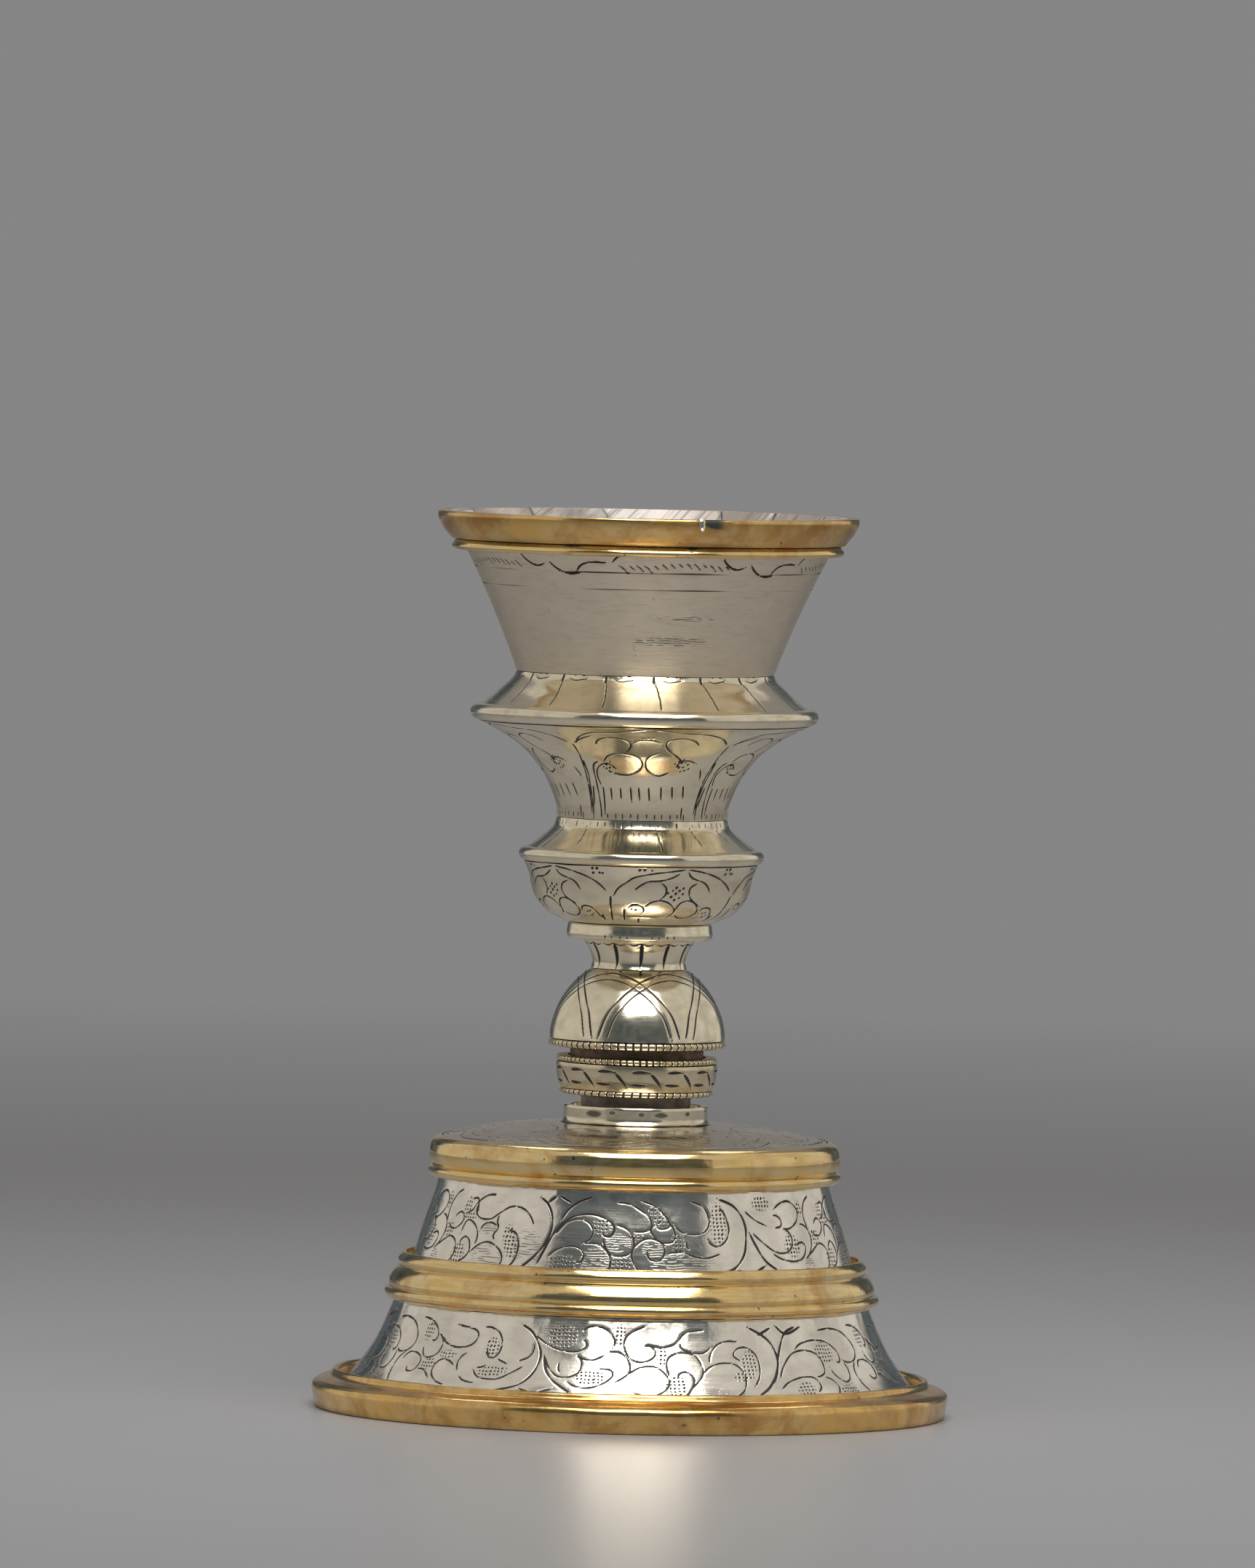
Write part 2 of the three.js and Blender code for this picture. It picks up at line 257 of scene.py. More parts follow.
def dots(centre, radii, pitch=0.9, turn=0.0, size=0.3, seed=0, loose=0.12):
    """Single punched dots on a slightly uneven grid inside an ellipse turned by `turn` degrees."""
    rng = np.random.default_rng(seed)
    rx, ry = radii
    gx, gy = np.meshgrid(np.arange(-rx, rx, pitch), np.arange(-ry, ry, pitch))
    spot = np.c_[gx.ravel(), gy.ravel()]
    spot = spot[(spot[:, 0] / rx) ** 2 + (spot[:, 1] / ry) ** 2 < 1]
    spot = spot + rng.normal(0, loose * pitch, spot.shape)
    c, s = math.cos(math.radians(turn)), math.sin(math.radians(turn))
    spot = spot @ np.array([[c, s], [-s, c]]) + centre
    sizes = size * rng.uniform(0.7, 1.15, len(spot))
    return [(np.array([p, p + [0.06, 0.12]]), np.array([w, w])) for p, w in zip(spot, sizes)]


def patches(columns, v, ellipses, radius):
    """A mask from 0 to 1 over the unrolled surface, full inside ellipses (x, y, half width, half height,
    turn in degrees) and soft at their edges."""
    period = TURN * radius
    u = angles(columns)[None, :] * radius
    mask = np.zeros((len(v), columns))
    for x, y, rx, ry, turn in ellipses:
        du = (u - x + period / 2) % period - period / 2
        dv = v[:, None] - y
        c, s = math.cos(math.radians(turn)), math.sin(math.radians(turn))
        away = np.hypot((du * c + dv * s) / rx, (dv * c - du * s) / ry)
        mask = np.maximum(mask, np.clip((1.08 - away) * 5, 0, 1))
    return mask


def moved(strokes, dx):
    """The strokes moved round by dx."""
    return [(line + [dx, 0.0], widths) for line, widths in strokes]


def carve(columns, v, strokes, radius):
    """The depth field over the unrolled surface, from 0 to 1. A cell's depth is the greatest, over all
    strokes, of one less its distance from the stroke over the stroke's half-width there: a V-shaped cut."""
    period = TURN * radius
    du = period / columns
    start = -period / 2
    field = np.zeros((len(v), columns))
    for line, widths in strokes:
        reach = widths.max()
        low, high = line.min(0) - reach, line.max(0) + reach
        across = np.arange(math.ceil((low[0] - start) / du), math.floor((high[0] - start) / du) + 1)
        rows = np.flatnonzero((v >= low[1]) & (v <= high[1]))
        if not len(across) or not len(rows):
            continue
        x, y = np.meshgrid(start + across * du, v[rows])
        cells = np.stack([x, y], -1).reshape(-1, 1, 2)
        a, step = line[:-1], np.diff(line, axis=0)
        t = np.clip(((cells - a) * step).sum(-1) / ((step**2).sum(-1) + 1e-12), 0, 1)
        gap = np.linalg.norm(cells - a - t[..., None] * step, axis=-1)
        width = widths[:-1] + t * np.diff(widths)
        depth = np.clip(1 - gap / np.maximum(width, 1e-6), 0, 1).max(-1).reshape(len(rows), len(across))
        window = np.ix_(rows, across % columns)
        field[window] = np.maximum(field[window], depth)
    return field


def scribed(columns, v, level, width=0.14, wander=0.08, seed=0):
    """A line scribed right round at `level`, wandering a little up and down, of uneven depth."""
    rng = np.random.default_rng(seed)
    a = angles(columns)
    wave = sum(np.sin(k * a + rng.uniform(0, TURN)) for k in (1, 2, 5)) * wander / 3
    uneven = 0.5 + 0.3 * np.sin(7 * a + rng.uniform(0, TURN)) * np.sin(3 * a)
    return np.clip(1 - np.abs(v[:, None] - level - wave) / width, 0, 1) * uneven


# ---- Patterns, in millimetres from the front and up the piece ----

# Radius that each piece's pattern is laid out on
LOWER_RADIUS, UPPER_RADIUS, PLATE_RADIUS = 49.0, 40.0, 28.0
# A third of the upper drum: fine lines of the leaf scrolls, bold lines of the stems
UPPER_SCROLLS = [
    [(-16.2, 3.7), (-14.6, 5.3), (-12, 6.2), (-10, 5.8), (-9.1, 4.6), (-9.4, 3.3), (-10.2, 3.0),
     (-10.1, 3.9)],
    [(-15.3, 8.2), (-13.3, 10.6), (-11, 11.6), (-8.7, 11), (-7.7, 9.4), (-8.2, 7.7), (-9.7, 6.7)],
    [(-9.2, 6.8), (-6.8, 6.8), (-4.9, 5.5), (-4.1, 3.9), (-4.2, 2.1), (-5.1, 1.0)],
    [(-5.7, 8.2), (-5.3, 6.6), (-4.3, 5.0), (-2.9, 4.5), (-1.0, 4.8), (-0.2, 5.8)],
    [(-3.7, 15.2), (-0.7, 14.8), (2.0, 13.3), (3.3, 12.0), (3.5, 10.4), (2.4, 9.5), (-0.4, 9.4)],
    [(-3.7, 10.8), (-1.5, 10.1), (-0.3, 8.8), (0.2, 7.2), (-0.1, 5.4)],
    [(1.0, 15.7), (4.0, 14.7), (5.7, 13.3), (7.0, 11.6), (6.9, 10.4), (5.3, 10.0), (4.2, 10.8)],
    [(4.2, 10.9), (3.4, 9.8), (3.9, 8.7), (5.1, 7.5), (7.0, 7.3), (8.0, 8.3), (7.8, 10.0), (6.5, 12.0)],
    [(2.8, 0.3), (0.7, 2.3), (-0.2, 4.7), (0.5, 6.6), (2.2, 7.9), (4.3, 7.9), (5.7, 6.9), (5.9, 5.2),
     (4.9, 3.7),
     (3.4, 3.9), (2.7, 5.0), (2.9, 6.0)],
    [(6.1, 4.8), (7.4, 5.4), (9.7, 5.4), (11.3, 4.7), (14.0, 4.3), (17.0, 5.2)],
    [(7.8, 11.2), (9.3, 9.5), (12.0, 9.0), (14.0, 9.5), (15.0, 11.0), (14.9, 13.1), (13.8, 14.7),
     (11.1, 15.7)],
    [(14.3, 8.3), (14.9, 7.2), (16.3, 6.6), (18.0, 7.5), (19.0, 9.5), (18.9, 11.6), (18.2, 13.5),
     (17.1, 14.5)],
    [(10.2, 8.0), (10.3, 6.5), (11.0, 5.6)],
    [(22.9, 13.8), (25.4, 11.7), (28.2, 10.4)],
    [(24.0, 9.4), (25.8, 7.7), (28.5, 5.6), (30.8, 5.0), (33.0, 5.6), (34.1, 7.4), (33.6, 9.0),
     (32.2, 9.9)],
    [(29.6, 12.4), (31.0, 12.5), (32.0, 11.6), (31.6, 10.3), (29.6, 10.1)],
    [(30.5, 13.7), (32.8, 14.9), (35.3, 15.2), (37.2, 14.0), (37.4, 12.5), (36.2, 10.9), (33.9, 9.8),
     (31.7, 9.9)],
    [(28.0, 5.2), (30.3, 3.9), (33.5, 3.3), (36.2, 3.9), (37.6, 5.7), (37.2, 6.8), (36.0, 6.9),
     (34.6, 6.3)],
    [(36.7, 10.8), (38.7, 10.2), (39.9, 8.6), (39.9, 6.8), (38.7, 4.8), (36.9, 3.5)],
    [(43.0, 16.1), (40.8, 15.0), (39.4, 13.0), (39.3, 10.9), (39.9, 9.3)],
    [(40.6, 9.1), (42.1, 8.1), (43.7, 8.2), (45.3, 9.5), (45.3, 10.7), (44.1, 11.5), (42.8, 10.9),
     (42.4, 10.0)],
    [(38.6, 4.4), (40.5, 5.6), (42.6, 6.5), (44.6, 5.7), (45.3, 3.6), (44.0, 1.6), (40.5, 0.8)],
    [(46.3, 14.2), (48.4, 14.4), (49.2, 12.0), (48.9, 11.2)],
    [(45.6, 7.2), (46.6, 9.8), (48.4, 9.8), (50.2, 8.5), (50.9, 6.8), (50.5, 4.9)],
    [(44.0, 1.4), (46.2, 1.4), (48.4, 2.4), (49.5, 4.0), (48.9, 6.0), (47.5, 6.7), (46.3, 5.8),
     (46.5, 4.9)],
    [(45.6, 11.2), (47.5, 12.1), (48.6, 13.7), (51.1, 15.2), (54.0, 15.5)],
    [(48.7, 13.5), (48.9, 11.7), (50.6, 10.6), (53.4, 10.6), (55.4, 11.9), (57.8, 13.3), (60.2, 13.3),
     (62.4, 12.1),
     (64.1, 9.7)],
    [(51.1, 7.9), (52.0, 9.4), (53.8, 9.9), (55.8, 9.2)],
    [(49.7, 3.7), (52.0, 5.5), (54.4, 6.0), (57.0, 4.8), (58.2, 2.9), (57.4, 1.2), (55.8, 0.3)],
    [(55.5, 11.8), (55.3, 10.2), (55.9, 9.0), (55.0, 7.4), (55.8, 6.2)],
    [(58.0, 8.8), (60.2, 8.2), (61.2, 6.3), (61.3, 4.3), (60.7, 2.4), (59.5, 1.2)],
]
UPPER_STEMS = [
    [(-22.5, 0.3), (-18.7, 3.9), (-16.6, 7.3), (-16.0, 10.0), (-16.4, 12.3), (-17.6, 14.3), (-19.5, 15.7)],
    [(-18.2, 2.0), (-16.0, 7.4), (-14.3, 10.2), (-11.5, 12.2), (-7.7, 12.6), (-4.8, 11.5), (-3.6, 10.0),
     (-4.2, 8.5),
     (-5.3, 8.4), (-6.2, 9.3)],
    [(-14.5, 10.8), (-13.3, 13.1), (-11.4, 14.8), (-9.1, 15.8), (-7.9, 16.2)],
    [(-17.8, 14.4), (-15.5, 16.2)],
    [(-15.5, 16.2), (-12.2, 14.6)],
    [(15.3, 0.8), (19.3, 2.2), (21.7, 4.9), (22.6, 8.3), (22.8, 10.4), (22.2, 12.7), (20.5, 14.7),
     (17.2, 16.1)],
    [(23.4, 9.5), (24.5, 6.8), (26.3, 3.6), (29.2, 1.4)],
    [(19.5, 2.0), (22.6, 0.8)],
    [(23.2, 1.1), (26.4, 2.8)],
]
UPPER_DOTS = [
    (-6.0, 10.4, 2.0, 1.7, 0), (5.0, 12.4, 2.6, 1.5, -50), (1.0, 8.2, 2.2, 0.7, 0), (8.5, 7.2, 1.3, 2.2, 0),
    (16.9, 10.9, 1.7, 4.3, -4), (-2.0, 2.2, 2.5, 2.2, 0), (27.4, 14.9, 2.2, 1.5, 0),
    (33.8, 6.4, 2.2, 2.4, 0),
    (38.2, 13.6, 1.0, 1.7, 0), (41.5, 7.9, 1.6, 1.6, 0), (46.0, 12.4, 1.2, 2.4, 0),
    (46.3, 3.2, 2.0, 2.4, 0),
    (59.3, 6.4, 1.7, 3.6, 18), (-13.2, 2.6, 3.0, 2.0, 0), (47.6, 11.0, 1.8, 1.1, 0),
]
UPPER_HATCH = [
    (-7.0, 3.2, 2.8, 2.9, 0), (9.2, 3.0, 5.8, 2.2, 0), (-2.8, 7.0, 2.4, 1.8, 0), (4.0, 6.0, 2.2, 2.0, 0),
    (54.5, 3.4, 4.0, 2.4, 0), (53.6, 8.4, 2.2, 1.2, 0), (63.0, 5.4, 3.6, 3.6, 0), (38.0, 2.0, 1.6, 2.0, 0),
]
# A third of the lower drum
LOWER_SCROLLS = [
    [(-19.4, 14.8), (-16.3, 12.9), (-13.3, 11.9), (-10.2, 11.8), (-8.7, 12.7), (-8.8, 13.8), (-9.8, 14.2)],
    [(-16.8, 10.8), (-15.5, 8.3), (-13.7, 6.5), (-11.7, 6.2), (-9.8, 7.1), (-9.2, 8.7), (-9.4, 10.0),
     (-10.6, 11.3)],
    [(-13.3, 9.8), (-13.6, 8.3), (-12.9, 6.7)],
    [(-9.8, 15.6), (-8.7, 16.7), (-6.7, 17.0), (-4.6, 16.2), (-3.1, 14.2), (-3.5, 12.5)],
    [(-10.6, 11.2), (-9.0, 10.3), (-7.1, 10.1), (-4.6, 11.3)],
    [(-4.0, 11.9), (-2.1, 11.8), (-0.6, 10.6), (0.0, 8.7), (-0.6, 7.1), (-2.9, 5.2)],
    [(-11.9, 5.5), (-9.8, 4.2), (-7.1, 4.0), (-4.6, 5.2), (-3.2, 6.9), (-3.7, 8.1), (-5.8, 8.3)],
    [(3.1, 17.3), (0.6, 16.2), (-1.0, 14.8), (-1.2, 12.9), (-0.2, 10.8), (1.7, 9.9), (3.8, 10.4),
     (4.8, 11.6),
     (4.4, 12.8), (3.5, 13.3), (2.3, 13.0)],
    [(3.1, 13.5), (6.0, 13.0), (8.3, 13.5), (9.6, 14.6), (10.2, 15.4), (11.7, 16.3), (14.8, 16.6)],
    [(9.6, 14.4), (10.0, 12.9), (11.7, 12.1), (14.0, 11.9), (16.2, 13.2)],
    [(-0.6, 7.1), (1.7, 8.7), (4.4, 9.0), (6.3, 7.7), (7.2, 5.6), (6.3, 3.7), (3.7, 2.3), (0.4, 3.2)],
    [(7.3, 6.7), (6.9, 9.0), (7.3, 10.8), (9.0, 11.8), (11.0, 11.9), (12.7, 11.2), (13.7, 9.0), (13.5, 7.1),
     (12.1, 5.2), (10.6, 3.7)],
    [(8.7, 6.2), (9.2, 7.5), (10.6, 7.9), (11.7, 6.9), (11.7, 5.4), (10.4, 2.9), (9.2, 2.2)],
    [(13.7, 7.5), (15.2, 9.0), (17.5, 9.8), (20.2, 9.6), (21.7, 8.1), (21.9, 6.0), (21.0, 3.7),
     (19.0, 2.1)],
    [(15.2, 9.4), (15.6, 11.5), (17.1, 13.5), (19.4, 14.3), (21.7, 14.2)],
    [(23.3, 4.6), (24.8, 6.7), (25.5, 9.4), (25.0, 11.7), (23.3, 13.0), (21.3, 12.7), (20.4, 11.3),
     (22.1, 10.0)],
    [(29.2, 6.3), (30.9, 9.0), (33.7, 11.5), (36.8, 12.1), (39.6, 11.5), (40.9, 9.9), (40.7, 7.6),
     (39.3, 6.6),
     (37.5, 6.3)],
    [(34.6, 12.3), (36.6, 13.5), (40.5, 14.1), (44.1, 13.5), (46.4, 11.7), (46.6, 9.9), (45.7, 9.2),
     (44.9, 9.9)],
    [(42.4, 8.4), (43.2, 6.5), (45.0, 5.0), (46.8, 5.5), (47.8, 7.6), (47.3, 9.5)],
    [(28.6, 3.8), (30.9, 5.5), (34.6, 6.5), (37.3, 6.1), (37.9, 4.2), (36.4, 2.7)],
    [(39.8, 6.4), (41.6, 5.6), (42.4, 3.8), (41.2, 1.9)],
    [(42.3, 16.0), (46.4, 16.2), (50.0, 15.4), (52.5, 13.3), (53.0, 11.2), (51.4, 9.5), (48.7, 9.1),
     (47.1, 9.9)],
    [(51.4, 9.4), (49.8, 7.4), (50.0, 4.4), (51.4, 2.0)],
    [(52.6, 16.7), (56.0, 16.2), (58.5, 14.9), (59.6, 13.3), (59.1, 12.1), (57.8, 12.4)],
    [(56.2, 11.0), (57.2, 9.2), (59.0, 8.5), (61.2, 9.4), (61.9, 11.5), (61.0, 13.0), (59.7, 13.7)],
    [(51.5, 7.4), (52.4, 9.0), (54.4, 9.4), (56.9, 8.5), (57.5, 6.9), (56.7, 5.4), (54.9, 5.2),
     (54.1, 6.5)],
    [(57.6, 5.9), (59.7, 5.8), (62.2, 4.0)],
    [(67.2, 2.6), (64.4, 3.5), (62.4, 5.1), (62.0, 6.9), (63.1, 8.3), (65.1, 8.3), (67.2, 7.2)],
    [(61.2, 13.3), (62.8, 11.9), (66.0, 11.2), (69.2, 11.9), (70.4, 13.7), (69.2, 15.1), (64.4, 15.8)],
    [(68.3, 5.9), (67.6, 8.0), (68.1, 9.6), (69.2, 10.3)],
    [(68.8, 5.4), (70.6, 4.2), (73.3, 3.8)],
    [(71.1, 15.9), (73.4, 15.7), (75.3, 14.8), (76.4, 12.9), (76.3, 10.8), (75.1, 9.5), (73.8, 10.2),
     (73.2, 12.1)],
    [(75.9, 9.8), (76.8, 9.2), (79.1, 8.3)],
    [(71.6, 7.2), (72.4, 6.0), (73.9, 5.1), (77.4, 5.0), (79.7, 6.3), (82.4, 8.3)],
    [(71.8, 7.4), (73.2, 7.4), (74.7, 8.2)],
    [(83.6, 13.3), (83.4, 11.2), (82.6, 10.0), (80.6, 9.1)],
]
LOWER_STEMS = [
    [(-22.9, 16.9), (-20.2, 15.4), (-18.3, 12.9), (-17.5, 10.6), (-17.9, 7.7), (-19.2, 5.2), (-21.3, 3.5),
     (-25.6, 2.1)],
    [(-16.9, 11.0), (-16.0, 7.9), (-14.4, 5.6), (-12.1, 3.8), (-10.2, 2.4)],
    [(-20.4, 3.2), (-17.6, 2.2)],
    [(-17.0, 2.2), (-13.8, 3.6)],
    [(24.2, 17.2), (27.5, 15.4), (29.4, 13.3), (29.9, 10.2), (28.7, 7.5), (26.3, 4.4), (23.3, 2.2)],
    [(27.5, 5.2), (29.1, 7.9), (30.2, 10.8), (31.4, 13.3), (33.2, 15.8), (36.2, 17.0)],
    [(26.2, 15.3), (30.0, 17.0)],
    [(30.7, 17.6), (33.4, 15.6), (37.8, 17.0)],
]
LOWER_DOTS = [
    (-7.4, 6.2, 3.0, 1.9, 0), (-2.0, 15.2, 1.1, 2.2, 0), (6.0, 11.2, 1.0, 2.2, 0),
    (8.4, 4.6, 2.0, 2.6, -20),
    (23.3, 9.2, 1.7, 3.6, -14), (21.0, 6.8, 1.4, 1.1, 0), (42.4, 11.4, 2.6, 2.4, 0),
    (34.2, 3.6, 2.2, 1.8, 25),
    (45.0, 2.8, 2.6, 1.6, 0), (56.6, 14.0, 1.5, 2.2, 0), (60.1, 7.2, 2.0, 1.4, 0), (64.2, 9.6, 2.5, 0.9, 0),
    (74.4, 11.7, 1.7, 2.3, 0), (76.0, 6.7, 3.4, 1.3, 8), (-13.6, 14.8, 3.2, 2.4, 0),
]
LOWER_HATCH = [(15.6, 2.8, 1.8, 1.6, 0), (45.6, 3.6, 2.0, 1.4, 20), (-14.6, 15.6, 3.4, 2.0, 0)]
# A fifth of the cove: arches, lobes and the dividing lines
COVE_LINES = [
    [(-11.7, 18.2), (-10.2, 20.8), (-7.6, 22.8), (-3.4, 23.4), (0.9, 25.0)],
    [(14.7, 18.2), (12.7, 20.8), (9.8, 22.6), (5.2, 23.4), (1.1, 25.0)],
    [(-8.3, 17.8), (-7.2, 19.9), (-5.2, 20.9), (-3.2, 20.4), (-2.2, 18.7), (-2.5, 16.7), (-3.6, 15.4)],
    [(-2.1, 18.6), (-0.7, 19.9), (1.2, 20.0), (3.1, 18.9)],
    [(9.4, 18.1), (8.2, 19.9), (6.2, 21.0), (4.2, 20.3), (3.6, 18.7), (4.5, 16.3), (6.2, 14.6),
     (8.0, 12.9)],
    [(-8.2, 12.4), (-6.5, 14.6), (-3.8, 15.3), (-1.3, 14.4), (-0.2, 12.5), (-1.1, 10.6), (-3.4, 9.6),
     (-6.5, 9.9)],
    [(3.3, 15.9), (1.2, 14.6), (0.4, 12.9), (0.9, 10.8), (3.2, 9.5), (5.8, 10.5)],
    [(-6.3, 10.8), (-6.2, 11.7), (-7.6, 12.4), (-9.5, 11.3), (-10.3, 9.2), (-9.8, 6.7)],
    [(6.6, 11.2), (7.0, 12.7), (8.7, 13.5), (11.0, 12.6)],
    [(12.1, 11.6), (12.8, 10.0), (13.3, 8.3)],
    [(-12.4, 18.6), (-12.6, 14.0), (-13.1, 9.0), (-13.4, 7.0)],
    [(15.5, 18.3), (17.6, 20.1), (19.8, 21.6)],
]
COVE_CUTS = [
    ((-13.3, 7.2), (-13.8, 0.1)), ((-12.1, 6.8), (-12.8, 2.4)), ((-9.5, 6.6), (-9.9, 0.2)),
    ((-7.6, 6.5), (-7.7, 4.0)),
    ((-5.3, 6.5), (-5.3, 3.9)), ((-2.9, 6.7), (-2.7, 3.4)), ((-1.0, 6.7), (-0.7, 3.8)),
    ((1.3, 6.8), (1.7, 3.4)),
    ((4.2, 6.9), (4.5, 3.8)), ((6.8, 7.0), (7.3, 4.2)), ((9.5, 7.2), (10.1, 4.2)),
    ((10.2, 2.6), (10.2, 0.2)),
]
# A fifth of the bulb
BULB_LINES = [
    [(8.2, 14.8), (11.6, 14.1), (14.8, 13.0), (17.3, 11.6), (19.1, 9.8)],
    [(-5.2, 8.9), (-4.1, 10.7), (-2.3, 12.1), (-0.9, 13.0), (2.3, 13.8), (5.4, 14.3), (8.2, 14.8)],
    [(7.3, 14.1), (5.5, 12.9), (3.4, 12.3), (1.3, 12.1), (-0.2, 11.2), (-1.4, 10.1)],
    [(3.4, 12.2), (4.6, 11.0), (4.6, 9.6), (3.6, 8.4)],
    [(8.3, 14.6), (9.4, 13.0), (12.3, 11.8), (13.8, 9.8)],
    [(11.0, 12.0), (9.4, 11.1), (9.2, 9.6), (10.2, 8.2), (12.1, 7.0)],
    [(0.5, 6.6), (2.3, 8.0), (4.5, 8.2), (6.2, 7.1), (6.9, 5.5), (5.7, 3.9)],
    [(6.9, 5.6), (7.7, 7.7), (9.4, 8.3), (11.0, 7.6), (12.0, 5.6), (10.6, 4.0), (8.4, 3.8), (7.0, 5.0)],
    [(12.5, 5.2), (13.0, 6.4), (14.3, 6.6), (15.5, 5.9), (16.6, 3.4), (17.3, 2.0)],
    [(-2.7, 6.4), (-1.2, 7.4), (0.2, 7.0), (0.7, 5.9), (0.2, 4.8)],
]
BULB_CUTS = [
    ((-5.6, 9.0), (-6.0, 5.2)), ((-5.9, 5.6), (-6.5, 1.8)), ((-3.2, 6.1), (-3.7, 1.6)),
    ((-8.1, 4.4), (-8.5, 1.8)),
    ((-0.3, 3.2), (-0.4, 1.0)),
]
# One stretch of the bell's border, and how far round each repeat of it starts
BELL_LINES = [
    [(-26.0, 26.0), (-25.3, 24.5), (-23.6, 23.2), (-22.0, 23.0), (-20.5, 23.6)],
    [(-19.8, 24.2), (-18.6, 22.8), (-16.8, 21.7), (-15.1, 21.4), (-12.8, 21.8)],
    [(-14.2, 21.7), (-13.1, 23.2), (-11.6, 23.9), (-9.6, 24.1), (-7.3, 23.8)],
    [(-6.9, 23.8), (-5.8, 25.2), (-4.3, 26.0), (-2.4, 26.1), (-1.0, 25.8)],
]
BELL_STARTS = (0.0, 40.2, 82.5, 124.9, 167.5)


def leaves(scrolls, stems, count, radius):
    """Repeats a part of a drum's engraving `count` times round: fine dashed scrolls and bold stems."""
    strokes = [graved(line, 0.30, 3.4) for line in scrolls] + [graved(line, 0.40, 6.0) for line in stems]
    return repeated(strokes, count, radius)


def copies_round(ellipses, count, radius):
    """The ellipses repeated `count` times round."""
    pitch = TURN * radius / count
    return [(x + k * pitch, y, rx, ry, turn) for k in range(count) for x, y, rx, ry, turn in ellipses]


def wrapped_round(strokes, radius):
    """The strokes with each one's middle brought within half a turn of the front."""
    period = TURN * radius
    return [(line - [period * round(line[:, 0].mean() / period), 0], widths) for line, widths in strokes]


def repeated(strokes, count, radius, start=0.0):
    """The strokes repeated `count` times round, the first moved by `start` degrees."""
    pitch = TURN * radius / count
    copies = []
    for k in range(count):
        copies += moved(strokes, math.radians(start) * radius + k * pitch)
    return wrapped_round(copies, radius)


def ticks(span, count, low, high, width, seed):
    """A row of upright tapered cuts hanging from `high`, spread over `span` either side of the middle."""
    rng = np.random.default_rng(seed)
    xs = np.linspace(-span, span, count) + rng.uniform(-0.2, 0.2, count)
    falls = rng.uniform(0.75, 1.1, count)
    return [gouge((x, high), (x, high - (high - low) * f), width) for x, f in zip(xs, falls)]


# ---- Materials ----


def fresh(name):
    """An empty node material with a Principled shader: the material, its tree and the shader."""
    material = bpy.data.materials.new(name)
    material.use_nodes = True
    tree = material.node_tree
    tree.nodes.clear()
    out = tree.nodes.new("ShaderNodeOutputMaterial")
    shader = tree.nodes.new("ShaderNodeBsdfPrincipled")
    tree.links.new(shader.outputs[0], out.inputs[0])
    return material, tree, shader


def put(tree, socket, value):
    """Sets a socket to a constant, or links it when the value is another node's socket."""
    if isinstance(value, bpy.types.NodeSocket):
        tree.links.new(value, socket)
    else:
        socket.default_value = value


def node(tree, kind, out=0, settings=None, **inputs):
    """Adds a shader node, fills its named inputs and gives back one of its outputs."""
    made = tree.nodes.new("ShaderNode" + kind)
    for key, value in (settings or {}).items():
        setattr(made, key, value)
    for key, value in inputs.items():
        put(tree, made.inputs[key.replace("_", " ")], value)
    return made.outputs[out]


def mixed(tree, factor, a, b):
    """Colour a turned towards colour b by the factor."""
    made = tree.nodes.new("ShaderNodeMix")
    made.data_type = "RGBA"
    for index, value in ((0, factor), (6, a), (7, b)):
        put(tree, made.inputs[index], value)
    return made.outputs[2]


def ranged(tree, value, low, high, to_low=0.0, to_high=1.0):
    """The value carried from low..high to to_low..to_high, held at the ends."""
    return node(tree, "MapRange", Value=value, From_Min=low, From_Max=high, To_Min=to_low, To_Max=to_high)


def maths(tree, operation, a, b):
    """One sum on two values."""
    made = tree.nodes.new("ShaderNodeMath")
    made.operation = operation
    put(tree, made.inputs[0], a)
    put(tree, made.inputs[1], b)
    return made.outputs[0]


def cloud(tree, place, scale, detail=3.0, stretch=(1, 1, 1), rough=0.55, bend=0.0):
    """Noise on Object coordinates, `scale` features to the metre, stretched by `stretch`."""
    if stretch != (1, 1, 1):
        place = node(tree, "Mapping", Vector=place, Scale=stretch)
    return node(
        tree, "TexNoise", Vector=place, Scale=scale, Detail=detail, Roughness=rough, Distortion=bend
    )


def colour(values):
    """Red, green and blue with a full fourth value, as a colour socket takes them."""
    return (*values, 1.0)


def surface_from(tree, socket):
    """Gives the material's output another surface shader."""
    out = next(n for n in tree.nodes if n.bl_idname == "ShaderNodeOutputMaterial")
    tree.links.new(socket, out.inputs[0])


INK = (0.022, 0.016, 0.012)  # the black that fills the cuts
TARNISH = (0.16, 0.13, 0.1)  # brown film on old silver
GRIME_AND_SHADE = (0.035, 0.04, 0.028)  # greenish dark of real stains and dirt, and of painted shade in creases and grooves
DOT_PITCH = 0.78  # between punched dots, mm
HATCH_PITCH = 0.5  # between hatched cuts, mm
MATERIALS = {}


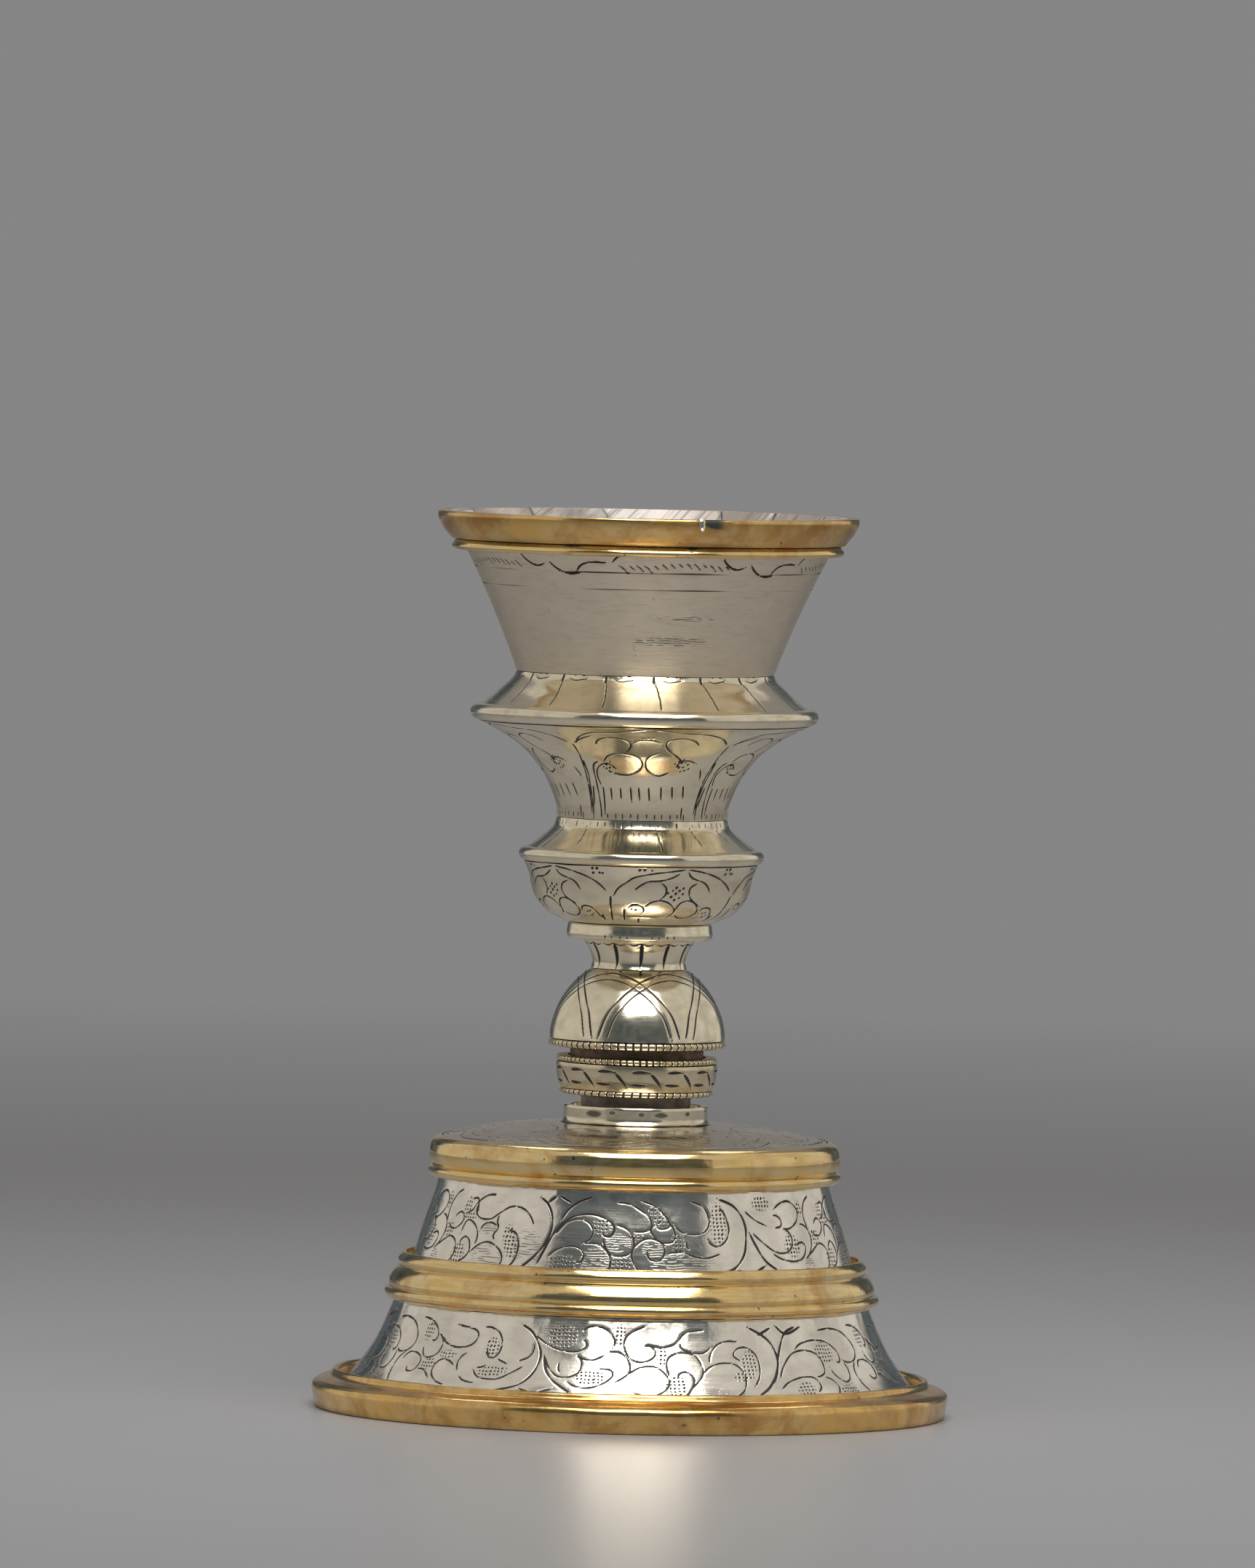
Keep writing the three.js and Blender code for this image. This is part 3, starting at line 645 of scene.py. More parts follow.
def punched(tree, place, rise, count, pitch, mask):
    """Rows of punched dots, `count` to a turn and `pitch` millimetres apart up the surface, inside the
    mask: dark within about a third of a cell of its middle."""
    x, y = (node(tree, "SeparateXYZ", out=k, Vector=place) for k in (0, 1))
    turn = maths(tree, "ARCTAN2", x, maths(tree, "MULTIPLY", y, -1.0))
    loose = cloud(tree, place, 700, 1)
    loose = maths(tree, "MULTIPLY", maths(tree, "SUBTRACT", loose, 0.5), 0.9)
    across = maths(tree, "ADD", maths(tree, "MULTIPLY", turn, count / TURN), loose)
    up = maths(tree, "ADD", maths(tree, "DIVIDE", rise, pitch), loose)
    off = [maths(tree, "SUBTRACT", maths(tree, "FRACT", value, 0.0), 0.5) for value in (across, up)]
    away = maths(tree, "SQRT", maths(tree, "ADD", *[maths(tree, "MULTIPLY", v, v) for v in off]), 0.0)
    return maths(tree, "MULTIPLY", ranged(tree, away, 0.25, 0.36, 1, 0), mask)


def hatched(tree, place, rise, pitch, mask):
    """Level cuts `pitch` millimetres apart, bent and broken by noise, inside the mask."""
    bend = cloud(tree, place, 240, 2)
    level = maths(tree, "ADD", maths(tree, "DIVIDE", rise, pitch), maths(tree, "MULTIPLY", bend, 2.4))
    off = maths(tree, "ABSOLUTE", maths(tree, "SUBTRACT", maths(tree, "FRACT", level, 0.0), 0.5), 0.0)
    broken = ranged(tree, cloud(tree, place, 1, 1, (420, 420, 1900)), 0.42, 0.5)
    cuts = maths(tree, "MULTIPLY", ranged(tree, off, 0.16, 0.3, 1, 0), broken)
    return maths(tree, "MULTIPLY", cuts, mask)


def metal(
    name, base, worn, rough, turning, tarnish, spots=0.0, tint=None, count=0, drawn=(1, 1, 1), reach=0.48
):
    """Old polished metal. Its colour drifts between the base and the worn tone in clouds, fine level
    streaks from the lathe (`turning` is their strength) and crossing scratches break its gloss, dark
    tarnish gathers in a film and in specks, and cut lines are filled with black. `tint` is a third colour
    in patches, wider for a smaller `reach`. `count` is the number of punched dots in a turn, where the
    piece has them, and `drawn` squeezes the clouds along each axis."""
    material, tree, shader = fresh(name)
    place = node(tree, "TexCoord", out=3)
    cut, stain, punch, hatch, rise = (
        node(tree, "Attribute", out=2, settings={"attribute_name": key})
        for key in MARKS
    )
    line = ranged(tree, cut, 0.22, 0.42)
    if count:
        line = maths(tree, "MAXIMUM", line, punched(tree, place, rise, count, DOT_PITCH, punch))
        level = hatched(tree, place, rise, HATCH_PITCH, hatch)
        line = maths(tree, "MAXIMUM", line, maths(tree, "MULTIPLY", level, 0.75))
    drift = ranged(tree, cloud(tree, place, 95, 5, drawn), 0.38, 0.66)
    surface = mixed(tree, drift, colour(base), colour(worn))
    if tint:
        patch = ranged(tree, cloud(tree, place, 95, 7, rough=0.65, bend=0.4), reach, reach + 0.16, 0, 0.85)
        surface = mixed(tree, patch, surface, colour(tint))
    streak = cloud(tree, place, 1, 4, (55, 55, 5200))
    scratch = cloud(tree, place, 900, 2, (1, 1, 0.16), bend=1.5)
    flat = (drawn[0], drawn[1], 2.2 * drawn[2])
    film = ranged(tree, cloud(tree, place, 210, 7, flat), 0.5, 0.78, 0, tarnish)
    surface = mixed(tree, film, surface, colour(TARNISH))
    if spots:
        speck = ranged(tree, cloud(tree, place, 620, 1.5), 0.735, 0.765, 0, spots)
        surface = mixed(tree, speck, surface, colour(INK))
    # The stain mark turns the metal greenish dark: real spots, patches and dirt, and painted shade in the
    # mouldings' creases and the cup floor's groove.
    surface = mixed(tree, stain, surface, colour(GRIME_AND_SHADE))
    surface = mixed(tree, line, surface, colour(INK))
    put(tree, shader.inputs["Base Color"], surface)
    filled = maths(tree, "MAXIMUM", line, stain)
    dull = ranged(tree, drift, 0, 1, rough, rough * 1.35)
    dull = maths(tree, "ADD", dull, ranged(tree, streak, 0.3, 0.7, 0, 0.07))
    dull = maths(tree, "ADD", dull, maths(tree, "MULTIPLY", film, 0.35))
    dull = maths(tree, "ADD", dull, maths(tree, "MULTIPLY", filled, 0.4))
    put(tree, shader.inputs["Roughness"], dull)
    put(tree, shader.inputs["Metallic"], ranged(tree, filled, 0, 1, 1, 0.1))
    uneven = cloud(tree, place, 330, 2)
    normal = node(tree, "Bump", Strength=turning, Distance=0.00006, Height=streak)
    normal = node(tree, "Bump", Strength=0.12, Distance=0.00003, Height=scratch, Normal=normal)
    normal = node(tree, "Bump", Strength=0.10, Distance=0.0004, Height=uneven, Normal=normal)
    if count:
        marks = maths(tree, "SUBTRACT", 1.0, line)
        normal = node(tree, "Bump", Strength=0.35, Distance=0.00008, Height=marks, Normal=normal)
    put(tree, shader.inputs["Normal"], normal)
    return material


def core_metal(name, base):
    """The stem's dull brown core: fine cross-woven filing over uneven tarnish."""
    material, tree, shader = fresh(name)
    place = node(tree, "TexCoord", out=3)
    mottle = ranged(tree, cloud(tree, place, 260, 6), 0.35, 0.7)
    filed = cloud(tree, place, 1, 3, (900, 900, 5200))
    surface = mixed(tree, mottle, colour(base), colour([c * 0.35 for c in base]))
    surface = mixed(tree, ranged(tree, filed, 0.4, 0.7, 0, 0.5), surface, (0.3, 0.25, 0.2, 1))
    put(tree, shader.inputs["Base Color"], surface)
    shader.inputs["Metallic"].default_value = 0.6
    put(tree, shader.inputs["Roughness"], ranged(tree, mottle, 0, 1, 0.42, 0.65))
    put(tree, shader.inputs["Normal"], node(tree, "Bump", Strength=0.5, Distance=0.00012, Height=filed))
    return material


def nacre_shell(name, tone, seed):
    """Mother of pearl: slanting growth lines in white, grey and a little rose under a clear gloss."""
    material, tree, shader = fresh(name)
    place = node(tree, "TexCoord", out=3)
    place = node(tree, "Mapping", Vector=place, Location=(seed, seed * 2, 0), Rotation=(0.5, 0.9, seed))
    grain = cloud(tree, place, 1, 5, (45, 90, 1500), bend=0.6)
    drift = cloud(tree, place, 70, 3)
    pale = mixed(tree, ranged(tree, drift, 0.45, 0.7), colour(tone), (0.66, 0.58, 0.52, 1))
    surface = mixed(tree, ranged(tree, grain, 0.45, 0.64, 0, 0.85), pale, (0.17, 0.14, 0.12, 1))
    dirt = node(tree, "Attribute", out=2, settings={"attribute_name": "cut"})
    put(tree, shader.inputs["Base Color"], mixed(tree, dirt, surface, colour(INK)))
    put(tree, shader.inputs["Roughness"], ranged(tree, grain, 0.3, 0.7, 0.22, 0.42))
    shader.inputs["Coat Weight"].default_value = 0.5
    shader.inputs["Coat Roughness"].default_value = 0.12
    put(tree, shader.inputs["Normal"], node(tree, "Bump", Strength=0.2, Distance=0.0001, Height=grain))
    return material


def make_materials(settings):
    """All the finishes, kept by name. Each metal's numbers are its roughness, the strength of its lathe
    streaks and its tarnish."""
    silver, gold = tuple(settings.silver_colour), tuple(settings.gilt_colour)

    def toned(metal_colour, *parts):
        """The colour with each of its parts taken down."""
        return [c * part for c, part in zip(metal_colour, parts)]

    def greyer(metal_colour, part):
        """The colour taken down evenly."""
        return [c * part for c in metal_colour]

    def dots_round(radius):
        """Punched dots in a turn at this radius."""
        return round(TURN * radius / DOT_PITCH)

    pale = greyer(silver, 0.93)
    ochre = toned(silver, 0.93, 0.865, 0.68)
    brown = toned(silver, 0.82, 0.77, 0.70)
    warm = toned(silver, 0.99, 0.95, 0.82)
    satin = toned(silver, 0.90, 0.845, 0.765)
    deep = toned(gold, 0.96, 0.85, 0.66)
    lower_dots, upper_dots, plate_dots = map(dots_round, (LOWER_RADIUS, UPPER_RADIUS, PLATE_RADIUS))
    MATERIALS.update(
        lower_drum=metal("lower_drum_silver", silver, pale, 0.10, 0.05, 0.22, count=lower_dots),
        upper_drum=metal("upper_drum_silver", silver, pale, 0.10, 0.05, 0.22, count=upper_dots),
        plate=metal("top_plate_silver", brown, greyer(brown, 0.8), 0.11, 0.05, 0.45, count=plate_dots),
        stem=metal("stem_silver", warm, greyer(warm, 0.92), 0.10, 0.06, 0.3),
        ring=metal("knop_ring_silver", ochre, greyer(ochre, 0.85), 0.13, 0.06, 0.4),
        bell=metal(
            "satin_silver", satin, greyer(satin, 0.93), 0.26, 0.6, 0.2, spots=0.2, count=400,
            drawn=(1.4, 1.4, 4),
        ),
        gilt=metal(
            "worn_gilding", gold, (0.86, 0.69, 0.38), 0.09, 0.08, 0.10, spots=0.7,
            tint=(0.70, 0.40, 0.13), reach=0.50,
        ),
        rim=metal(
            "rim_gilding", deep, (0.87, 0.65, 0.33), 0.13, 0.08, 0.15, spots=0.7,
            tint=(0.60, 0.31, 0.08), reach=0.44,
        ),
        core=core_metal("tarnished_core", (0.20, 0.14, 0.10)),
        filed=core_metal("filed_core", (0.42, 0.36, 0.31)),
        iron=core_metal("filed_iron", (0.3, 0.28, 0.26)),
    )


# ---- Sizes and colours ----


class VesselSettings(bpy.types.PropertyGroup):
    """Sizes and colours of the vessel's visible finish."""

    silver_colour: FloatVectorProperty(
        name="Silver",
        description="Colour of the clean silver",
        subtype="COLOR",
        default=(0.93, 0.87, 0.765),
    )
    gilt_colour: FloatVectorProperty(
        name="Gilding",
        description="Colour of the sound gilding",
        subtype="COLOR",
        default=(0.91, 0.65, 0.27),
    )
    cut_depth: FloatProperty(
        name="Cut depth",
        description="Depth of the graver's deepest lines, mm",
        default=0.07,
        min=0.0,
        max=0.5,
    )
    cell: FloatProperty(
        name="Cell",
        description="Spacing of the mesh under the engraving, mm",
        default=0.25,
        min=0.1,
        max=1.0,
    )
    plain_columns: IntProperty(
        name="Plain columns", description="Columns round a piece that isn't engraved", default=256, min=32
    )
    floor_radius: FloatProperty(
        name="Floor", description="Radius of the floor", default=9.0, unit="LENGTH", min=1.0
    )


def ready(context):
    """The vessel's settings, with the finishes made the first time they're asked for."""
    if not MATERIALS:
        make_materials(context.scene.vessel)
    return context.scene.vessel


def engraved(
    name, outer, outline, radius, strokes, settings, body="cup", finish="stem", rings=(), uneven=None,
    dotted=(), hatch=(), most=1400, lean=(0, 0),
):
    """A turned piece whose outer line carries the cuts. `radius` is the one the strokes were laid out on,
    `rings` are lines scribed right round, as (level, half width), and `most` is the most columns."""
    v = walked_up(outer)
    columns = min(int(round(TURN * outer[:, 0].max() / settings.cell / 4)) * 4, most)
    field = carve(columns, v, strokes, radius)
    for n, (level, width) in enumerate(rings):
        field = np.maximum(field, scribed(columns, v, level, width, seed=n))
    push = -settings.cut_depth * field
    if uneven is not None:
        push = push + uneven(len(outer), columns)
    marks = {
        "cut": field,
        "punch": patches(columns, v, dotted, radius),
        "hatch": patches(columns, v, hatch, radius),
        "rise": v[:, None] + np.zeros((1, columns)),
    }
    return turned(name, outline, columns, body, MATERIALS[finish], push=push, lean=lean, **marks)


# ---- Foot ----


class VESSEL_OT_foot_flange(bpy.types.Operator):
    """Gilt flange the vessel stands on: a rolled edge, a raised lip and the trough inside it"""

    bl_idname = "vessel.foot_flange"
    bl_label = "Foot flange"
    bl_options = {"REGISTER", "UNDO"}

    def execute(self, context):
        ready(context)
        edge = [(61.15, 0.25), (61.35, 1.2), (61.75, 3.0), (61.85, 3.9), (61.6, 4.7), (60.9, 5.25)]
        lip = [
            (60.6, 5.4), (59.4, 5.85), (58.4, 6.2), (58.0, 6.6), (57.75, 7.2), (57.3, 7.5), (56.85, 7.3)
        ]
        outside = np.vstack([
            [(56.4, 0.0), (60.9, 0.0)],
            smooth_line(edge, 0.25),
            smooth_line(lip, 0.25),
            [(56.6, 6.9), (56.6, 5.2), (53.4, 5.2), (53.4, 4.2), (55.9, 4.0)],
        ])
        columns = 512
        a = angles(columns)
        rows = np.arange(len(outside))[:, None]
        uneven = 0.05 * np.sin(5 * a + 1) * np.sin(0.2 * rows)
        uneven = uneven + 0.03 * np.sin(13 * a) + 0.02 * np.sin(29 * a + rows * 0.3)
        flat = (outside[:, 1] < 0.3) | (outside[:, 0] < 57)
        uneven = np.where(flat[:, None], 0, uneven)
        z = outside[:, 1:]
        spot = np.exp(-((a - 0.17) * 61 / 0.55) ** 2 - ((z - 2.1) / 0.4) ** 2)
        # Darker towards the bottom of the rolled edge, more in some places round than others.
        low = np.clip((1.2 - z) / 1.0, 0, 1) * (outside[:, :1] > 60) * 0.4 * (0.6 + 0.4 * np.sin(9 * a))
        turned(
            "foot_flange", outside, columns, "foot", MATERIALS["rim"], "gilt",
            push=uneven, stain=np.clip(spot + low, 0, 1),
        )
        return {"FINISHED"}


class VESSEL_OT_drums(bpy.types.Operator):
    """The two engraved drums of the foot"""

    bl_idname = "vessel.drums"
    bl_label = "Drums"
    bl_options = {"REGISTER", "UNDO"}

    def execute(self, context):
        settings = ready(context)
        lower = smooth_line(
            [
                (55.6, 5.3), (53.6, 7.4), (52.0, 9.4), (50.2, 12.1), (48.9, 14.5), (47.4, 17.9),
                (46.15, 21.15),
            ],
            0.26,
        )
        engraved(
            "lower_drum", lower, sheet(lower), LOWER_RADIUS,
            leaves(LOWER_SCROLLS, LOWER_STEMS, 3, LOWER_RADIUS), settings, "foot", "lower_drum",
            dotted=copies_round(LOWER_DOTS, 3, LOWER_RADIUS),
            hatch=copies_round(LOWER_HATCH, 3, LOWER_RADIUS),
            uneven=lambda n, m: ripple(n, m, 4, 0.14, 12, 22) + dents(n, m, 74, 0.06, 0.6, 1.0),
            most=1160,
        )
        upper = smooth_line([(42.95, 28.55), (42.2, 31.2), (40.3, 37.4), (38.7, 42.2), (38.0, 45.15)], 0.25)
        engraved(
            "upper_drum", upper, sheet(upper), UPPER_RADIUS,
            leaves(UPPER_SCROLLS, UPPER_STEMS, 3, UPPER_RADIUS), settings, "foot", "upper_drum",
            dotted=copies_round(UPPER_DOTS, 3, UPPER_RADIUS),
            hatch=copies_round(UPPER_HATCH, 3, UPPER_RADIUS),
            uneven=lambda n, m: ripple(n, m, 8, 0.12, 12, 20) + dents(n, m, 62, 0.05, 0.75, 1.0),
            most=1080,
        )
        return {"FINISHED"}


class VESSEL_OT_mouldings(bpy.types.Operator):
    """The two gilt mouldings round the foot, each a torus between thin beads"""

    bl_idname = "vessel.mouldings"
    bl_label = "Mouldings"
    bl_options = {"REGISTER", "UNDO"}

    def execute(self, context):
        ready(context)
        bead = [(47.3, 21.5), (47.9, 22.0), (48.1, 22.7), (47.8, 23.4), (47.25, 23.75)]
        torus = [(47.1, 23.8), (47.25, 24.4), (47.1, 25.3), (46.6, 26.3), (45.9, 27.2), (45.2, 27.75)]
        lip = [
            (45.15, 27.85), (45.3, 28.2), (45.55, 28.8), (45.3, 29.5), (44.7, 30.2), (44.3, 30.45),
            (43.95, 30.3),
        ]
        middle = np.vstack([
            [(45.0, 21.25), (46.7, 21.25)],
            *(smooth_line(part, 0.2) for part in (bead, torus, lip)),
            [(43.9, 28.45), (41.0, 28.45), (41.0, 27.35), (44.0, 27.05)],
        ])
        upper = np.vstack([
            [(36.7, 45.25), (39.3, 45.25)],
            smooth_line([(39.8, 45.5), (40.15, 46.1), (40.1, 46.8), (39.7, 47.25), (39.3, 47.4)], 0.2),
            smooth_line([(39.25, 47.5), (39.7, 48.1), (39.95, 49.0), (40.0, 50.2), (39.75, 51.5)], 0.2),
            smooth_line([(39.7, 51.7), (39.2, 52.45), (38.3, 53.0), (37.5, 53.15)], 0.2),
            [(37.45, 51.9), (35.9, 51.9)],
        ])
        corners = np.array([(47.15, 23.77), (45.17, 27.8), (39.27, 47.45)])
        columns = 448
        a = angles(columns)
        for name, outline, seed in (("middle_moulding", middle, 5), ("upper_moulding", upper, 6)):
            visible = outline[:, 0] > outline[:, 0].max() - 4.2
            uneven = ripple(len(outline), columns, seed, 0.10, 8, 16) * visible[:, None]
            # Painted shade: the creases between bead, torus and lip are darkened towards the greenish stain
            # colour, more in some places round than others.
            away = np.min(np.abs(outline[:, None] - corners[None]).sum(-1), 1)[:, None]
            groove = np.clip(1 - away / 0.22, 0, 1)
            crease_shade = groove * (0.45 + 0.35 * np.sin(7 * a + seed) * np.sin(4 * a))
            turned(
                name, outline, columns, "foot", MATERIALS["gilt"], "gilt", push=uneven,
                stain=np.clip(crease_shade, 0, 1),
            )
        return {"FINISHED"}


class VESSEL_OT_top_plate(bpy.types.Operator):
    """Engraved plate that closes the foot, a shallow dome with long arches and leaf scrolls"""

    bl_idname = "vessel.top_plate"
    bl_label = "Top plate"
    bl_options = {"REGISTER", "UNDO"}

    def execute(self, context):
        settings = ready(context)
        outer = smooth_line(
            [(37.3, 53.1), (34.0, 53.95), (30.0, 54.85), (22.7, 55.75), (15.2, 56.2), (12.0, 56.3)], 0.3
        )
        outer[:, 1] = np.minimum(outer[:, 1], 56.3)
        under = [(3.4, 56.3), (3.4, 55.3), (15.0, 55.25), (22.5, 54.7), (30.0, 53.8), (37.0, 52.1)]
        radius = PLATE_RADIUS
        bay = TURN * radius / 8
        half = bay / 2
        arch = [
            graved([(-half, 1.2), (-half * 0.5, 1.7), (0, 4.6)], 0.26, 6),
            graved([(half, 1.2), (half * 0.5, 1.7), (0, 4.6)], 0.26, 6),
            graved([(-half, 3.0), (-half * 0.45, 4.2), (0, 7.4)], 0.2, 5),
            graved([(half, 3.0), (half * 0.45, 4.2), (0, 7.4)], 0.2, 5),
            graved([(-half, 18.5), (-4, 16.5), (0, 13.0), (4, 16.5), (half, 18.5)], 0.2, 5),
        ]
        for x, y, s in ((-6.5, 6.0, 1), (6.5, 6.0, -1), (-5.0, 11.5, 1), (5.5, 12.0, -1)):
            curl = smooth_line([(0, 0), (2.6, 1.2), (3.2, 3.2), (1.4, 4.4), (-0.4, 3.4), (0.2, 2.2)], 0.3)
            arch.append(graved(curl * [s, 1] + [x, y], 0.2, 3))
        strokes = repeated(arch, 8, radius, 8.0)
        engraved(
            "top_plate", outer, np.vstack([outer, under]), radius, strokes, settings, "foot", "plate",
            dotted=copies_round([(2.0, 9.6, 2.0, 1.4, 0), (half + 2.0, 6.2, 1.8, 1.6, 0)], 8, radius),
            hatch=copies_round([(half + 2.0, 11.5, 3.2, 2.4, 0), (2.0, 2.4, 4.0, 1.0, 0)], 8, radius),
            rings=((0.9, 0.12), (20.6, 0.14)), uneven=lambda n, m: ripple(n, m, 9, 0.10, 10, 12), most=900,
        )
        return {"FINISHED"}


class VESSEL_OT_collars(bpy.types.Operator):
    """The plain collar that the stem stands in and the one under the bulb"""

    bl_idname = "vessel.collars"
    bl_label = "Collars"
    bl_options = {"REGISTER", "UNDO"}

    def execute(self, context):
        settings = ready(context)
        stem = np.vstack([
            [(12.7, 56.4)],
            smooth_line([(14.6, 56.4), (14.25, 56.65), (14.0, 57.1)], 0.15),
            smooth_line([(13.98, 57.3), (14.0, 58.6), (14.02, 59.45)], 0.3),
            [(13.85, 59.68), (12.9, 59.7), (12.7, 59.5)],
        ])
        columns = settings.plain_columns
        a = angles(columns)
        z = stem[:, 1:]
        spots = sum(
            np.exp(-((np.angle(np.exp(1j * (a - at))) * 14 / w) ** 2 + ((z - h) / t) ** 2) ** 2)
            for at, h, w, t in (  # angle, height, width and height of each dark spot
                (-0.62, 58.4, 2.0, 0.75), (-0.33, 58.7, 0.8, 0.5), (0.08, 58.5, 0.8, 0.5),
                (0.36, 58.4, 1.6, 0.6), (0.8, 58.6, 0.8, 0.5), (1.3, 58.9, 0.7, 0.4), (2.6, 58.0, 1.6, 0.6),
            )
        )
        turned(
            "stem_collar", stem, columns, "foot", MATERIALS["stem"],
            push=ripple(len(stem), columns, 2, 0.05), stain=np.clip(1.3 * spots, 0, 0.95),
        )
        edge = [(13.9, 92.15), (14.15, 92.5), (14.2, 93.2), (14.05, 94.2), (13.95, 94.9), (13.6, 95.15)]
        bulb = np.vstack([
            [(3.4, 92.0), (13.6, 92.0)],
            smooth_line(edge, 0.2),
            [(13.0, 95.2), (3.4, 95.2)],
        ])
        notch = np.clip(1 - np.abs(((a * 13.6) % 1.5) - 0.75) / 0.22, 0, 1)
        notch = notch * (np.sin(2 * a) * np.sin(5 * a) > 0.2)
        nick = notch * np.clip(1 - np.abs(bulb[:, 1:] - 92.8) / 0.7, 0, 1)
        turned("bulb_collar", bulb, columns, "cup", MATERIALS["stem"], push=-0.06 * nick, cut=nick)
        return {"FINISHED"}


class VESSEL_OT_spacers(bpy.types.Operator):
    """The dull core tubes that show above and below the knop's ring"""

    bl_idname = "vessel.spacers"
    bl_label = "Spacers"
    bl_options = {"REGISTER", "UNDO"}

    def execute(self, context):
        settings = ready(context)
        columns = settings.plain_columns
        bore, ease = 3.4, 0.2
        for name, body, finish, outer, low, high in (
            ("lower_spacer", "foot", "filed", 10.7, 56.4, 61.7),
            ("upper_spacer", "cup", "core", 13.0, 63.7, 71.0),
        ):
            side = smooth_line(
                [(outer, low + ease), (outer - 0.1, (low + high) / 2), (outer, high - ease)], 0.3
            )
            outline = np.vstack([
                [(bore, low), (outer - ease, low)], side, [(outer - ease, high), (bore, high)]
            ])
            uneven = ripple(len(outline), columns, 3, 0.05) * (outline[:, :1] > 5)
            turned(name, outline, columns, body, MATERIALS[finish], "core", push=uneven)
        return {"FINISHED"}


# ---- Knop ----


def toothed(name, inner, outer, middle, thick, teeth, deep, body, lean=(0, 0), slant=0.0):
    """A half-round wire cut across by a row of notches of uneven width and depth, dark at the bottom. Each
    falls off straight from its middle, which slants by `slant` teeth to the millimetre."""
    outline = wire_outline(inner, outer, middle, thick)
    columns = 12 * teeth
    a = angles(columns)
    rng = np.random.default_rng(teeth)
    phase = (a[None, :] * teeth / TURN + slant * (outline[:, 1:] - middle)) % 1
    which = (np.floor(a * teeth / TURN)).astype(int) % teeth
    wide = rng.uniform(0.10, 0.17, teeth)[which]
    notch = np.clip(1 - np.abs(phase - 0.5) / wide, 0, 1) * rng.uniform(0.7, 1.0, teeth)[which]
    notch = notch * (outline[:, :1] > inner + 0.3)
    turned(
        name, outline, columns, body, MATERIALS["ring"], push=-deep * notch, cut=np.clip(notch * 1.6, 0, 1),
        lean=lean,
    )


class VESSEL_OT_knop_ring(bpy.types.Operator):
    """The loose ring under the knop: leaf-shaped gouges between two notched wires, a little askew"""

    bl_idname = "vessel.knop_ring"
    bl_label = "Knop ring"
    bl_options = {"REGISTER", "UNDO"}

    def execute(self, context):
        settings = ready(context)
        lean = (-0.006, 0.004)
        outer = smooth_line(
            [(14.75, 62.95), (15.1, 63.8), (15.4, 64.8), (15.62, 66.2), (15.68, 67.3), (15.6, 67.95)], 0.2
        )
        inside = [
            (13.45, 67.95), (13.45, 63.35), (3.5, 63.35), (3.5, 62.05), (13.1, 62.05), (13.15, 62.95)
        ]
        radius = 15.5
        motif = [
            gouge((-1.7, 3.9), (2.0, 3.95), 0.5, 0.12, 0.0),
            gouge((-2.1, 1.6), (1.6, 1.5), 0.48, -0.10, 0.0),
            gouge((1.9, 3.8), (4.4, 0.6), 0.5, 0.15, 0.1),
        ]
        strokes = repeated(motif, 14, radius, 3.0)
        engraved(
            "knop_ring", outer, np.vstack([outer, inside]), radius, strokes, settings, "ring", "ring",
            lean=lean, uneven=lambda n, m: ripple(n, m, 12, 0.06), most=560,
        )
        toothed("ring_top_wire", 13.5, 15.75, 68.65, 1.2, 76, 0.26, "ring", lean, 0.05)
        toothed("ring_bottom_wire", 13.3, 14.95, 62.35, 1.1, 56, 0.2, "ring", lean, -0.1)
        return {"FINISHED"}


class VESSEL_OT_dome(bpy.types.Operator):
    """The domed knop with its interlaced double arches, and the beaded wire round its edge"""

    bl_idname = "vessel.dome"
    bl_label = "Dome"
    bl_options = {"REGISTER", "UNDO"}

    def execute(self, context):
        settings = ready(context)
        radius, centre = 17.1, 71.95
        outer = arc(0, centre, radius, 2.2, 56.2, 76)
        height = walked_up(outer)[-1]
        spread = TURN * radius / 6
        t = np.linspace(-1, 1, 25)
        rise = np.clip(1 - t**2, 0, 1) ** 0.62
        arch = [
            graved(np.c_[t * spread * 0.97, 0.3 + rise * (height - 1.3)], 0.34, 7),
            graved(np.c_[t * spread * 0.865, 0.3 + rise * (height - 3.1)], 0.28, 7),
        ]
        strokes = repeated(arch, 6, radius, 31.0)
        engraved(
            "dome_knop", outer, sheet(outer), radius, strokes, settings,
            uneven=lambda n, m: ripple(n, m, 15, 0.07), most=520,
        )
        toothed("dome_wire", 15.6, 17.3, 71.75, 1.5, 72, 0.2, "cup")
        return {"FINISHED"}


class VESSEL_OT_neck_spool(bpy.types.Operator):
    """The waisted neck between knop and bulb, with twelve deep gouges under a scalloped line"""

    bl_idname = "vessel.neck_spool"
    bl_label = "Neck spool"
    bl_options = {"REGISTER", "UNDO"}

    def execute(self, context):
        settings = ready(context)
        outer = smooth_line(
            [(9.35, 86.3), (9.05, 87.3), (9.2, 88.5), (9.7, 89.8), (10.4, 91.0), (11.0, 91.9)], 0.16
        )
        radius = 9.6
        bay = TURN * radius / 12
        motif = [
            gouge((0.1, 5.3), (-0.1, 0.1), 0.56, 0.1, 0.5),
            graved([(-bay / 2, 5.5), (-bay / 4, 5.05), (0, 5.5), (bay / 4, 5.05), (bay / 2, 5.5)], 0.17, 3),
        ]
        strokes = repeated(motif, 12, radius, 2.0)
        engraved("neck_spool", outer, sheet(outer), radius, strokes, settings, most=400)
        return {"FINISHED"}


# ---- Body ----


